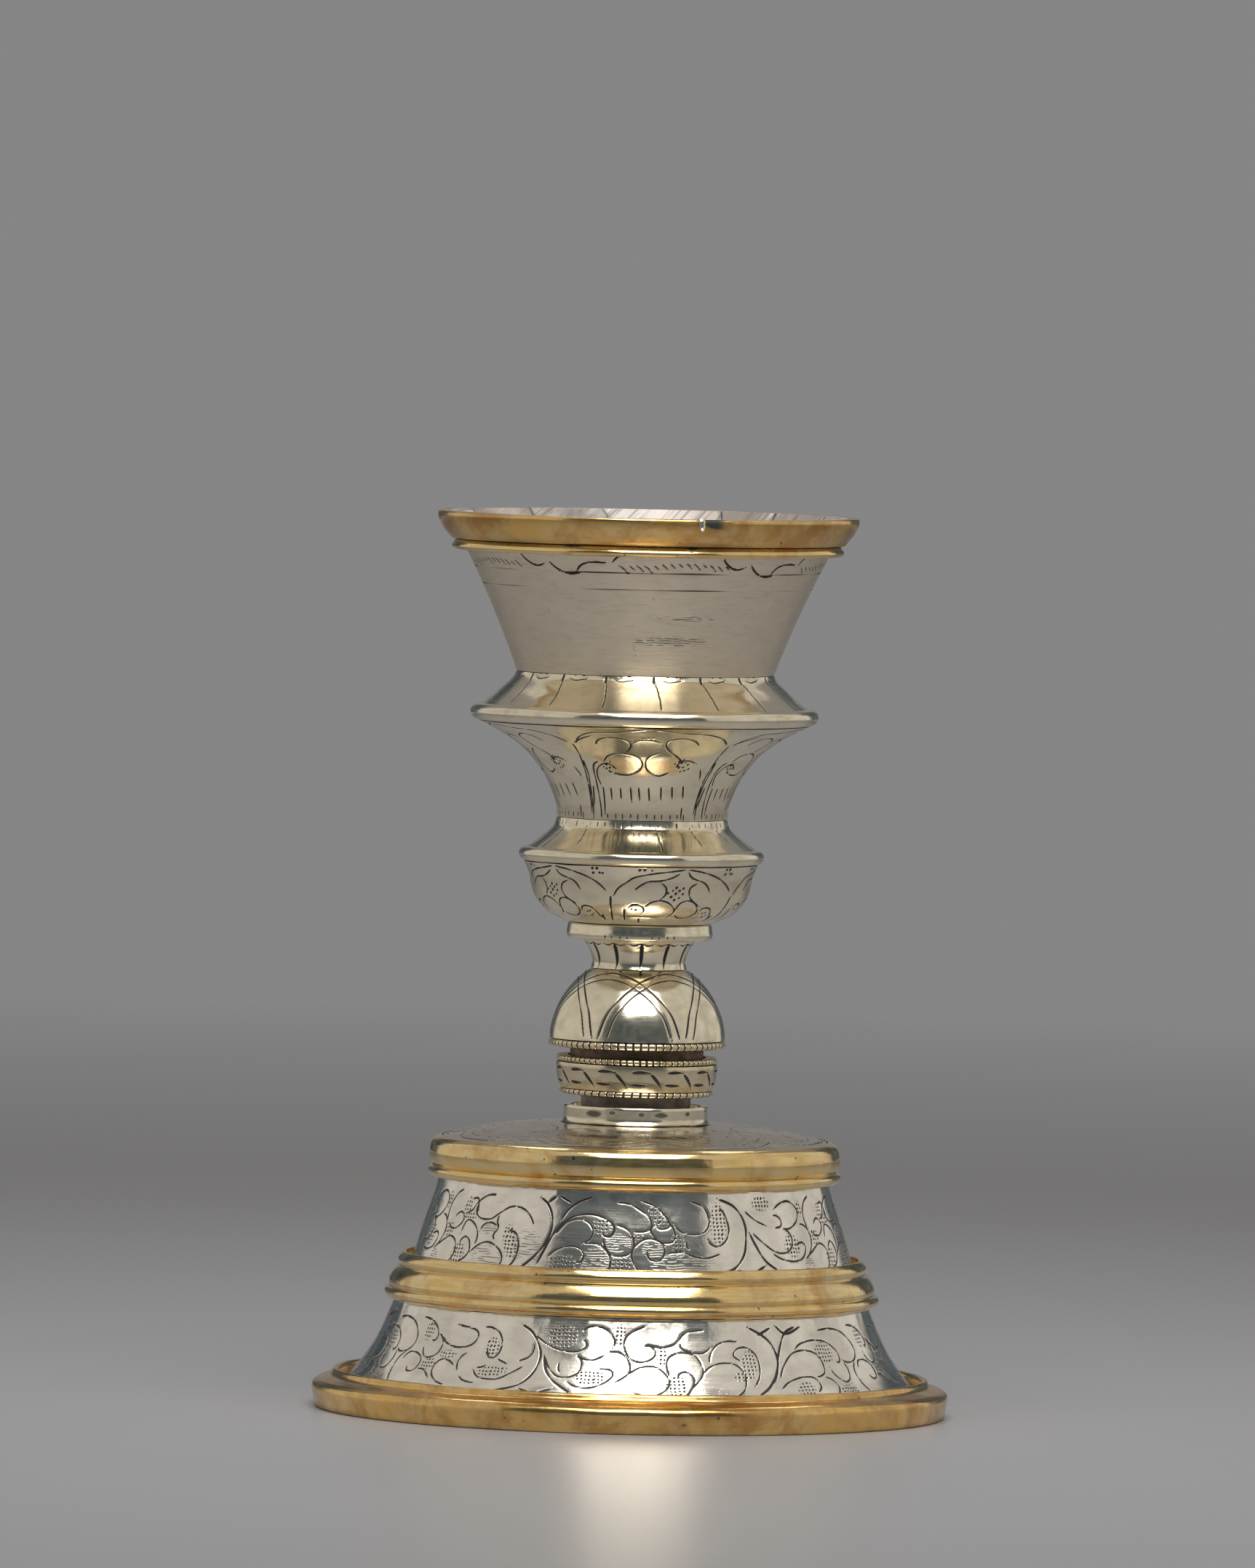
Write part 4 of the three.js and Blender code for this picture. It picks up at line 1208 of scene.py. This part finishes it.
class VESSEL_OT_bulb(bpy.types.Operator):
    """The bowl-shaped bulb under the lower flange, with pointed arches, lobes and punched diamonds"""

    bl_idname = "vessel.bulb"
    bl_label = "Bulb"
    bl_options = {"REGISTER", "UNDO"}

    def execute(self, context):
        settings = ready(context)
        outer = smooth_line(
            [
                (14.4, 95.3), (16.6, 96.3), (18.2, 97.2), (19.8, 98.9), (20.8, 100.6), (21.4, 102.6),
                (21.7, 104.2), (22.2, 105.5), (22.8, 106.8),
            ],
            0.22,
        )
        radius = 20.0
        strokes = [graved(line, 0.27, 3.6) for line in BULB_LINES]
        strokes += [gouge(start, end, 0.34, 0.0, 0.6) for start, end in BULB_CUTS]
        for centre, radii, pitch, turn, size, seed in (
            ((6.7, 9.6), (2.0, 1.7), 0.95, 40, 0.36, 1),
            ((-1.4, 6.3), (1.3, 1.0), 0.9, 0, 0.34, 2),
            ((14.4, 4.5), (1.3, 1.0), 0.9, 20, 0.34, 3),
            ((-8.0, 13.7), (1.5, 1.0), 0.95, 0, 0.36, 4),
            ((0.4, 14.2), (1.5, 0.7), 0.95, 0, 0.36, 9),
        ):
            strokes += dots(centre, radii, pitch, turn, size, seed)
        strokes = repeated(strokes, 5, radius)
        engraved(
            "bulb", outer, sheet(outer), radius, strokes, settings,
            uneven=lambda n, m: ripple(n, m, 18, 0.08), most=620,
        )
        return {"FINISHED"}


class VESSEL_OT_flange_wires(bpy.types.Operator):
    """The rounded edges of the two flanges"""

    bl_idname = "vessel.flange_wires"
    bl_label = "Flange wires"
    bl_options = {"REGISTER", "UNDO"}

    def execute(self, context):
        columns = ready(context).plain_columns
        for name, inner, outer, middle, thick, seed in (
            ("lower_flange_wire", 21.0, 23.85, 108.3, 2.8, 21),
            ("upper_flange_wire", 30.2, 33.85, 135.7, 3.2, 22),
        ):
            outline = wire_outline(inner, outer, middle, thick)
            uneven = ripple(len(outline), columns, seed, 0.05) * (outline[:, :1] > inner + 0.5)
            turned(name, outline, columns, "cup", MATERIALS["stem"], push=uneven)
        return {"FINISHED"}


class VESSEL_OT_shoulders(bpy.types.Operator):
    """The sloping tops of both flanges, rayed with single cuts from the neck"""

    bl_idname = "vessel.shoulders"
    bl_label = "Shoulders"
    bl_options = {"REGISTER", "UNDO"}

    def execute(self, context):
        settings = ready(context)
        upper = smooth_line(
            [
                (32.9, 136.45), (30.9, 137.9), (29.0, 139.4), (27.3, 141.0), (26.0, 142.2), (25.4, 142.9),
                (25.05, 143.65),
            ],
            0.22,
        )
        rays = [
            gouge((0.3, 10.3), (1.2, 0.6), 0.2, 0.5, 0.3),
            gouge((0.35, 10.7), (0.25, 9.1), 0.42, 0.0, 0.4),
            graved([(1.6, 10.3), (3.2, 9.7), (5.4, 9.9), (6.6, 10.4)], 0.2, 4),
            graved([(2.4, 10.4), (3.8, 10.9), (5.6, 10.7), (6.2, 10.4)], 0.14, 4),
        ]
        radius = 27.0
        engraved(
            "upper_shoulder", upper, sheet(upper), radius, repeated(rays, 17, radius, 3.0), settings,
            uneven=lambda n, m: ripple(n, m, 25, 0.12, 12, 18), most=800,
        )
        lower = smooth_line(
            [
                (22.9, 109.3), (21.0, 110.6), (19.6, 111.6), (18.2, 112.7), (17.2, 113.7), (16.8, 114.6),
                (16.6, 115.45),
            ],
            0.22,
        )
        rays = [gouge((0.2, 8.0), (0.9, 0.4), 0.16, 0.3, 0.2)] + ticks(3.0, 4, 7.2, 8.8, 0.14, 5)
        radius = 18.5
        engraved(
            "lower_shoulder", lower, sheet(lower), radius, repeated(rays, 15, radius, 8.0), settings,
            uneven=lambda n, m: ripple(n, m, 26, 0.08, 10, 14), most=560,
        )
        return {"FINISHED"}


class VESSEL_OT_cove(bpy.types.Operator):
    """The concave body: tall panels between double lines, with clouds, punched clusters and ticks"""

    bl_idname = "vessel.cove"
    bl_label = "Cove"
    bl_options = {"REGISTER", "UNDO"}

    def execute(self, context):
        settings = ready(context)
        outer = smooth_line(
            [
                (16.55, 115.55), (16.9, 118.0), (17.9, 120.9), (19.3, 123.7), (20.9, 125.9), (23.2, 128.5),
                (26.65, 131.0), (29.6, 132.7), (32.2, 133.95),
            ],
            0.24,
        )
        radius = 22.0
        strokes = [graved(line, 0.25, 4.2) for line in COVE_LINES]
        strokes += [gouge(start, end, 0.30, 0.0, 0.7) for start, end in COVE_CUTS]
        strokes += [graved([(15.3, 13.5), (15.2, 9.4), (14.8, 6.9), (14.4, 0.2)], 0.28, 5)]
        strokes += [graved([(18.9, 13.1), (17.2, 11.7), (16.7, 8.0), (16.8, 0.2)], 0.28, 5)]
        for centre, radii, pitch, turn, size, seed in (
            ((-6.8, 10.9), (1.7, 1.4), 0.85, 30, 0.34, 6),
            ((7.8, 12.0), (1.6, 2.1), 0.9, 30, 0.34, 7),
            ((0.8, 20.9), (1.6, 0.8), 0.85, 0, 0.3, 8),
        ):
            strokes += dots(centre, radii, pitch, turn, size, seed, loose=0.2)
        strokes += ticks(11.0, 12, 0.1, 1.3, 0.24, 10)
        strokes = repeated(strokes, 5, radius)
        engraved(
            "cove", outer, sheet(outer), radius, strokes, settings,
            uneven=lambda n, m: ripple(n, m, 28, 0.08, 10, 12), most=720,
        )
        return {"FINISHED"}


# ---- Cup ----


BELL_NECK, BELL_MOUTH, LIP = 143.75, 170.9, 174.5  # heights


def bell_radius(z):
    """Outside radius of the bell: a shallow parabola above its neck."""
    h = np.asarray(z) - BELL_NECK
    return 25.04 + 0.361 * h + 0.00328 * h * h


class VESSEL_OT_bell(bpy.types.Operator):
    """The flaring bell of the cup: plain satin metal under a band of festoons and slanting cuts"""

    bl_idname = "vessel.bell"
    bl_label = "Bell"
    bl_options = {"REGISTER", "UNDO"}

    def execute(self, context):
        settings = ready(context)
        z = np.linspace(BELL_NECK, BELL_MOUTH, 112)
        outer = np.c_[bell_radius(z), z]
        radius = 33.5
        strokes = [graved(line, 0.30, 5.0) for line in BELL_LINES]
        rng = np.random.default_rng(3)
        for n, x in enumerate(np.arange(-4.5, 16.5, 1.55)):
            level = 23.5 + 0.7 * math.sin(min(max(x, 0), 14) * 0.2)
            fall = 1.9 if n == 0 else rng.uniform(1.3, 1.6)
            strokes.append(gouge((x - fall * 0.5, level), (x + fall * 0.5, level - fall), 0.2, 0.1, 0.2))
        border = [stroke for start in BELL_STARTS for stroke in moved(strokes, start)]
        engraved(
            "bell", outer, sheet(outer, 0.8), radius, wrapped_round(border, radius), settings,
            finish="bell",
            hatch=copies_round([(5.5, 7.4, 9.0, 1.1, 0), (9.0, 12.3, 7.0, 0.5, 0)], 3, radius),
            rings=((21.9, 0.3), (18.2, 0.26)), uneven=lambda n, m: ripple(n, m, 31, 0.06, 8, 8), most=736,
        )
        return {"FINISHED"}


class VESSEL_OT_rim(bpy.types.Operator):
    """The gilt rim of the cup, its bead, the corroded spot in front and the bent tongue left on it"""

    bl_idname = "vessel.rim"
    bl_label = "Rim"
    bl_options = {"REGISTER", "UNDO"}

    def execute(self, context):
        ready(context)
        foot = 169.2
        side = [
            (38.45, 169.45), (39.2, 170.3), (40.0, 171.3), (40.6, 172.4), (40.9, 173.4), (40.95, 174.1),
            (40.8, 174.45),
        ]
        outline = np.vstack([
            [(bell_radius(foot) + 0.2, foot), (38.2, foot)],
            smooth_line(side, 0.2),
            [(40.65, LIP), (39.15, LIP), (39.0, 174.35), (bell_radius(BELL_MOUTH) + 0.2, BELL_MOUTH)],
        ])
        columns = 512
        a = angles(columns)
        z = outline[:, 1:]
        wave = ripple(len(outline), columns, 33, 0.12, 8, 12) * (outline[:, :1] > 38.6) * (z < 174.4)
        edge = 0.2 * np.sin(31 * a) * np.sin(12 * a)
        patch = np.exp(-(((a - 0.305) * 41 / (2.6 + edge)) ** 4))
        patch = patch * np.clip((z - 172.9 + 0.5 * np.sin(23 * a)) / 0.4, 0, 1)
        smear = np.exp(-(((a - 0.13) * 41 / 4.4) ** 2)) * np.clip(1 - np.abs(z - 173.9) / 0.35, 0, 1) * 0.7
        # Darker towards the rim's foot, more in some places round than others.
        base = np.clip((170.1 - z) / 0.8, 0, 1) * 0.25 * (1 + np.sin(6 * a))
        turned(
            "rim_moulding", outline, columns, "cup", MATERIALS["rim"], "gilt", push=wave - 0.12 * patch,
            stain=np.clip(patch + smear + base, 0, 1),
        )
        low, high = 167.0, 169.0
        round_side = [(37.35, 167.05), (37.95, 167.35), (38.12, 167.85), (37.8, 168.5), (37.35, 168.98)]
        bead = np.vstack([
            [(bell_radius(low) + 0.2, low)],
            smooth_line(round_side, 0.12),
            [(bell_radius(high) + 0.2, high)],
        ])
        crack = np.exp(-(((a - 0.22) * 38 / 1.3) ** 2)) + 0.8 * np.exp(-(((a + 0.42) * 38 / 1.6) ** 2))
        z = bead[:, 1:]
        gap = np.clip((z - 168.35) / 0.3, 0, 1) * np.clip(crack * (0.8 + 0.4 * np.sin(60 * a)), 0, 1)
        worn = np.clip(0.5 + 0.6 * np.sin(90 * a) * np.sin(17 * a), 0, 1)
        ragged = np.clip((z - 168.7) / 0.25, 0, 1) * worn * 0.7
        turned(
            "rim_bead", bead, columns, "cup", MATERIALS["gilt"], "gilt",
            push=ripple(len(bead), columns, 34, 0.06), stain=np.clip(gap + ragged, 0, 1),
        )
        self.tongue()
        return {"FINISHED"}

    def tongue(self):
        """A narrow strip bent over the lip: a flat oval section carried along a short curved path."""
        bent = [
            (39.9, 174.62), (40.9, 174.72), (41.32, 174.2), (41.35, 173.4), (41.6, 172.6), (41.85, 172.35)
        ]
        path = smooth_line(bent, 0.12)
        t = np.linspace(0, 1, len(path))[:, None]
        turn = np.linspace(0, TURN, 20, endpoint=False)[None, :]
        along = tangents(path)
        side = (0.62 - 0.25 * np.abs(t - 0.55)) * np.clip(np.sin(math.pi * (0.04 + 0.92 * t)), 0, 1) ** 0.4
        across = side * np.cos(turn) + 0.45 * t - 0.3 * t**2
        thick = 0.16 * np.sin(turn) * np.ones_like(t)
        r = path[:, :1] + thick * along[:, 1:]
        z = path[:, 1:] - thick * along[:, :1]
        at = 0.247 + across / 41.3
        n, m = at.shape
        quads = turned_over(grid_quads(n, m, closed_up=False))
        caps = []
        for row, order in ((0, 1), (n - 1, -1)):
            ring = row * m + np.arange(m)
            k = np.arange(m // 2 - 1)
            cap = np.stack([ring[k], ring[k + 1], ring[m - 2 - k], ring[(m - 1 - k) % m]], -1)
            caps.append(cap[:, ::order])
        quads = np.vstack([quads, *caps])
        verts = about_axis(r, at, z).reshape(-1, 3) * MM
        face_out(piece_from("rim_tongue", verts, quads, "cup", MATERIALS["stem"], "silver"))


def face_out(piece):
    """Recalculates a closed piece's faces so that they look outwards."""
    work = bmesh.new()
    work.from_mesh(piece.data)
    bmesh.ops.recalc_face_normals(work, faces=work.faces)
    work.to_mesh(piece.data)
    work.free()


class VESSEL_OT_cup_floor(bpy.types.Operator):
    """The gilt floor of the cup, a shallow dish with a turned ring"""

    bl_idname = "vessel.cup_floor"
    bl_label = "Cup floor"
    bl_options = {"REGISTER", "UNDO"}

    def execute(self, context):
        ready(context)
        under = smooth_line([(0.02, 143.5), (14, 144.2), (20, 145.3), (24.8, 146.4)], 0.8)
        upper = smooth_line([(24.8, 147.2), (20, 146.2), (14, 145.1), (0.02, 144.4)], 0.8)
        outline = np.vstack([under, upper])
        columns = 192
        # Painted shade: the groove of the turned ring is darkened through the stain mark as well as pushed
        # in.
        groove = np.clip(1 - np.abs(outline[:, :1] - 17.5) / 0.9, 0, 1) * (outline[:, 1:] > 145.2)
        groove = groove * np.ones(columns)
        turned(
            "cup_floor", outline, columns, "cup", MATERIALS["gilt"], "gilt", push=-0.15 * groove,
            stain=0.3 * groove,
        )
        return {"FINISHED"}


# Degrees that each nacre plate takes, the first one's start, and the tones that they take in turn
PLATE_WIDTHS = (20, 37, 23, 30, 26, 33, 24, 35, 28, 22, 34, 25, 23)
PLATE_START = 47.0
PLATE_TONES = ((0.30, 0.26, 0.23), (0.56, 0.49, 0.44), (0.26, 0.24, 0.225))


class VESSEL_OT_lining(bpy.types.Operator):
    """The nacre plates inside the cup, each a curved sector with slanting, stepped edges"""

    bl_idname = "vessel.lining"
    bl_label = "Lining"
    bl_options = {"REGISTER", "UNDO"}

    def execute(self, context):
        start = PLATE_START
        for n, width in enumerate(PLATE_WIDTHS):
            name = f"nacre_plate_{n + 1:02d}"
            tone = PLATE_TONES[n % len(PLATE_TONES)]
            self.plate(name, start, width, nacre_shell(name + "_shell", tone, 0.37 * n))
            start += width
        return {"FINISHED"}

    def plate(self, name, start, width, material):
        """Angle runs across the plate and height up it. Its outside lies inside the bell and flares to the
        lip. Both edges step sideways once and slant, by a function of height that is the same on both sides
        of a seam."""
        across, up = 28, 22
        wall, lip_radius, flare_height = 1.3, 38.75, 3.6
        z = np.linspace(147.4, LIP, up)[:, None]
        s = np.linspace(0, 1, across)[None, :]

        def edge(angle):
            """Angle of the seam that stands at `angle`, at each height."""
            swing = np.sin(angle * 0.7)
            return angle + 1.0 * swing * (z - 162) / 12 + 0.6 * np.tanh((z - 173.4 + 0.6 * swing) / 0.12)

        room = 0.1
        a = np.radians(edge(start) + room + (edge(start + width) - edge(start) - 2 * room) * s)
        flare = (z - BELL_MOUTH) / flare_height
        flared = (1 - flare) * (bell_radius(BELL_MOUTH) - wall) + flare * lip_radius
        outer = np.where(z >= BELL_MOUTH, flared, bell_radius(z) - wall) + 0 * s
        inner = outer - wall + 0.04 * np.sin(9 * s + z)
        grids = [np.stack([r * np.cos(a), r * np.sin(a), z + 0 * s], -1) for r in (outer, inner)]
        verts = np.vstack([g.reshape(-1, 3) for g in grids])
        count = across * up
        front = grid_quads(up, across, closed_up=False, closed_round=False)
        border = np.r_[
            np.arange(across - 1), (np.arange(up - 1) * across + across - 1),
            (up - 1) * across + np.arange(across - 1, 0, -1), np.arange(up - 1, 0, -1) * across,
        ]
        after = np.roll(border, -1)
        band = np.stack([border, border + count, after + count, after], -1)
        quads = np.vstack([front, front[:, ::-1] + count, band])
        near = np.minimum(np.minimum(s, 1 - s) * width * 0.6, 9)
        dirt = 0.6 * np.clip(1 - near / 0.1, 0, 1) + 0 * z
        dirt = np.r_[dirt.ravel(), dirt.ravel()]
        face_out(piece_from(name, verts * MM, quads, "cup", material, "nacre", cut=dirt))


class VESSEL_OT_fastening(bpy.types.Operator):
    """The threaded tie rod, its washer and square nut, and the plates hidden in the stack"""

    bl_idname = "vessel.fastening"
    bl_label = "Fastening"
    bl_options = {"REGISTER", "UNDO"}

    def execute(self, context):
        ready(context)
        self.rod()
        self.nut()
        for name, finish in (("washer", "iron"), ("seat_plate", "stem"), ("dome_base", "ring")):
            for place in bpy.data.objects[name].material_slots:
                place.material = MATERIALS[finish]
        return {"FINISHED"}

    def rod(self):
        """A round rod with a disc at its top. Its thread is pushed in by a cosine that climbs one pitch a
        turn and fades at both ends, and the rod ends in a chamfer."""
        radius, pitch, end, thread_top, columns = 3.0, 1.0, 41.5, 53.0, 96
        z = np.linspace(end, 54.5, 170)
        side = np.c_[np.full(len(z), radius), z]
        disc = [(radius, 95.3), (8.0, 95.3), (8.0, 97.3), (0.02, 97.3), (0.02, end), (2.4, end)]
        z = z[:, None]
        thread = 0.5 + 0.5 * np.cos(TURN * z / pitch - angles(columns))
        fade = np.clip((z - end) / 0.8, 0, 1) * np.clip((thread_top - z) / 0.8, 0, 1)
        chamfer = -0.5 * np.clip(1 - (z - end) / 0.6, 0, 1)
        turned(
            "tie_rod", np.vstack([side, disc]), columns, "cup", MATERIALS["iron"], "iron",
            push=chamfer - 0.45 * thread * fade,
        )

    def nut(self):
        """A square with eased corners: r = side / max(|cos|, |sin|) rounded off, chamfered by a cone."""
        half_side, bore, low, high, columns, roundness = 6.5, 3.35, 47.6, 52.6, 160, 16
        a = angles(columns)[None, :]
        square = np.abs(np.cos(a)) ** roundness + np.abs(np.sin(a)) ** roundness
        flat = half_side / square ** (1 / roundness)
        z = np.array([low, 47.7, 48.0, 48.5, 50.0, 51.7, 52.2, 52.5, high])[:, None]
        cone = 7.2 + 1.9 * np.clip(np.minimum(z - low, high - z), 0, 3)
        r = np.vstack([np.minimum(flat, cone), np.full((3, columns), bore)])
        heights = np.vstack([z, [[high], [50.0], [low]]]) + np.zeros_like(a)
        verts = about_axis(r, a, heights).reshape(-1, 3) * MM
        piece_from("nut", verts, grid_quads(len(r), columns), "nut", MATERIALS["iron"], "iron")


# ---- Stage ----


SURROUND = (0.240, 0.236, 0.236, 1)  # grey of the world light, which the floor fades into as a painted glow


class VESSEL_OT_stage(bpy.types.Operator):
    """A round floor with a painted pool of light, pale in the middle, that falls off into a painted glow of
    the grey surround; soft studio light and the camera
    """

    bl_idname = "vessel.stage"
    bl_label = "Stage"
    bl_options = {"REGISTER", "UNDO"}

    def execute(self, context):
        settings = ready(context)
        scene = context.scene
        scene.view_settings.view_transform = "Standard"
        self.floor(settings.floor_radius)
        self.world(scene)
        self.lights()
        self.camera(scene)
        return {"FINISHED"}

    def floor(self, radius):
        """Rings of quads that widen outwards from the middle, flat at height zero."""
        columns, below = 96, 0.00002
        rings = np.r_[0.001, np.geomspace(0.02, radius, 40)][:, None]
        verts = about_axis(rings, angles(columns), np.zeros((len(rings), columns)) - below).reshape(-1, 3)
        quads = turned_over(grid_quads(len(rings), columns, closed_up=False))
        mesh = bpy.data.meshes.new("floor")
        mesh.from_pydata(verts.tolist(), [], quads.tolist())
        mesh.polygons.foreach_set("use_smooth", np.ones(len(mesh.polygons), bool))
        material, tree, shader = fresh("floor_with_painted_light")
        place = node(tree, "TexCoord", out=3)
        made = tree.nodes.new("ShaderNodeVectorMath")
        made.operation = "LENGTH"
        tree.links.new(place, made.inputs[0])
        away = made.outputs["Value"]
        # Painted pool of light: the floor's colour is pale near the middle and darker out to 0.75 m.
        near = ranged(tree, away, 0.0, 0.75)
        tone = mixed(tree, near, (0.325, 0.325, 0.336, 1), (0.155, 0.152, 0.154, 1))
        put(tree, shader.inputs["Base Color"], tone)
        shader.inputs["Roughness"].default_value = 0.34
        shader.inputs["Specular IOR Level"].default_value = 0.28
        # Painted glow: from 0.62 m out the floor blends into a surface giving off the surround grey, fully
        # by 1.5 m.
        glow = node(tree, "Emission", Color=SURROUND, Strength=1.0)
        blend = tree.nodes.new("ShaderNodeMixShader")
        put(tree, blend.inputs[0], ranged(tree, away, 0.62, 1.5))
        tree.links.new(shader.outputs[0], blend.inputs[1])
        tree.links.new(glow, blend.inputs[2])
        surface_from(tree, blend.outputs[0])
        mesh.materials.append(material)
        linked("floor", mesh)

    def world(self, scene):
        """The even grey that surrounds the stage."""
        world = bpy.data.worlds.new("grey_surround")
        world.use_nodes = True
        back = world.node_tree.nodes["Background"]
        back.inputs[0].default_value = SURROUND
        back.inputs[1].default_value = 1.0
        scene.world = world

    def screen(self, name, radius, span, height, low, high):
        """A curved screen that only light and reflections meet: x = r sin a, y = -r cos a, from the floor
        up, with a from one end of `span` to the other. Its glow drifts between two colours in large soft
        clouds."""
        across, up = 32, 4
        a = np.radians(np.linspace(*span, across)) + np.zeros((up, 1))
        z = np.linspace(0.0, height, up)[:, None] + np.zeros(across)
        quads = turned_over(grid_quads(up, across, closed_up=False, closed_round=False))
        mesh = bpy.data.meshes.new(name)
        mesh.from_pydata(about_axis(radius, a, z).reshape(-1, 3).tolist(), [], quads.tolist())
        screen = linked(name, mesh)
        material, tree, shader = fresh(name + "_cloth")
        place = node(tree, "TexCoord", out=3)
        tone = mixed(tree, ranged(tree, cloud(tree, place, 2.6), 0.35, 0.65), colour(low), colour(high))
        glow = node(tree, "Emission", Color=tone, Strength=1.0)
        surface_from(tree, glow)
        tree.nodes.remove(shader)
        mesh.materials.append(material)
        screen.visible_camera = False
        screen.visible_shadow = False

    def lamp(self, name, place, size, power, tint):
        """A soft rectangular light turned towards the middle of the vessel."""
        data = bpy.data.lights.new(name, "AREA")
        data.shape = "RECTANGLE"
        data.size, data.size_y = size
        data.energy = power
        data.color = tint
        lamp = linked(name, data)
        lamp.visible_camera = False
        back = Vector(np.asarray(place, float) - [0, 0, 0.09])
        lamp.matrix_world = Matrix.Translation(place) @ back.to_track_quat("Z", "Y").to_matrix().to_4x4()

    def lights(self):
        """A window in front and above and one behind, and screens for the metal to reflect: name, distance,
        span in degrees from the front, height, and the colours it drifts between."""
        self.lamp("window", (0.055, -0.68, 1.33), (1.0, 1.22), 19.0, (1.0, 0.99, 0.975))
        self.lamp("back_window", (0.0, 1.5, 2.0), (1.4, 0.7), 6.0, (1.0, 0.99, 0.98))
        dark = ((0.024, 0.037, 0.050), (0.135, 0.155, 0.168))
        pale = ((0.44, 0.425, 0.395), (0.58, 0.56, 0.53))
        for name, radius, span, height, tones in (
            ("dark_screen", 2.8, (-54, 50), 2.3, dark),
            ("dark_corner", 2.78, (-42, -23), 3.2, dark),
            ("high_screen", 3.3, (-62, 62), 7.0, pale),
            ("left_screen", 1.9, (-144, -47), 4.2, pale),
            ("right_screen", 1.9, (43, 144), 4.2, (pale[0], (0.66, 0.64, 0.61))),
            ("left_edge", 1.9, (-168, -144), 0.95, dark),
            ("right_edge", 1.9, (144, 168), 0.95, dark),
        ):
            self.screen(name, radius, span, height, *tones)

    def camera(self, scene):
        """A long lens in front, a little above level, turned down and rolled by a degree or two."""
        place, down, roll = (-0.003, -3.406, 0.257), 2.27, 1.28
        data = bpy.data.cameras.new("camera")
        data.lens = 403.0
        data.sensor_width = 36.0
        data.sensor_fit = "AUTO"
        data.clip_end = 30.0
        camera = linked("camera", data)
        pitch = Matrix.Rotation(math.radians(90 - down), 4, "X")
        roll = Matrix.Rotation(math.radians(roll), 4, "Z")
        camera.matrix_world = Matrix.Translation(place) @ pitch @ roll
        scene.camera = camera


# ---- Panel and registering ----

STEPS = (
    VESSEL_OT_foot_flange,
    VESSEL_OT_drums,
    VESSEL_OT_mouldings,
    VESSEL_OT_top_plate,
    VESSEL_OT_collars,
    VESSEL_OT_spacers,
    VESSEL_OT_knop_ring,
    VESSEL_OT_dome,
    VESSEL_OT_neck_spool,
    VESSEL_OT_bulb,
    VESSEL_OT_flange_wires,
    VESSEL_OT_shoulders,
    VESSEL_OT_cove,
    VESSEL_OT_bell,
    VESSEL_OT_rim,
    VESSEL_OT_cup_floor,
    VESSEL_OT_lining,
    VESSEL_OT_fastening,
    VESSEL_OT_stage,
)


class VESSEL_PT_panel(bpy.types.Panel):
    """Lists the vessel's settings and the steps that build it"""

    bl_label = "Ciborium"
    bl_idname = "VESSEL_PT_panel"
    bl_space_type = "VIEW_3D"
    bl_region_type = "UI"
    bl_category = "Ciborium"

    def draw(self, context):
        """The settings, then a button for each step."""
        column = self.layout.column()
        for key in VesselSettings.__annotations__:
            column.prop(context.scene.vessel, key)
        for step in STEPS:
            column.operator(step.bl_idname)


CLASSES = (VesselSettings, *STEPS, VESSEL_PT_panel)


def register():
    """Registers the classes and gives each scene its settings."""
    for cls in CLASSES:
        bpy.utils.register_class(cls)
    bpy.types.Scene.vessel = PointerProperty(type=VesselSettings)


def unregister():
    """Takes the settings and the classes away again."""
    del bpy.types.Scene.vessel
    for cls in reversed(CLASSES):
        bpy.utils.unregister_class(cls)


def main():
    """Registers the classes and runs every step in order."""
    register()
    for step in STEPS:
        group, name = step.bl_idname.split(".")
        if getattr(getattr(bpy.ops, group), name)() != {"FINISHED"}:
            raise RuntimeError(f"{step.bl_label} was not built")


if __name__ == "__main__":
    main()
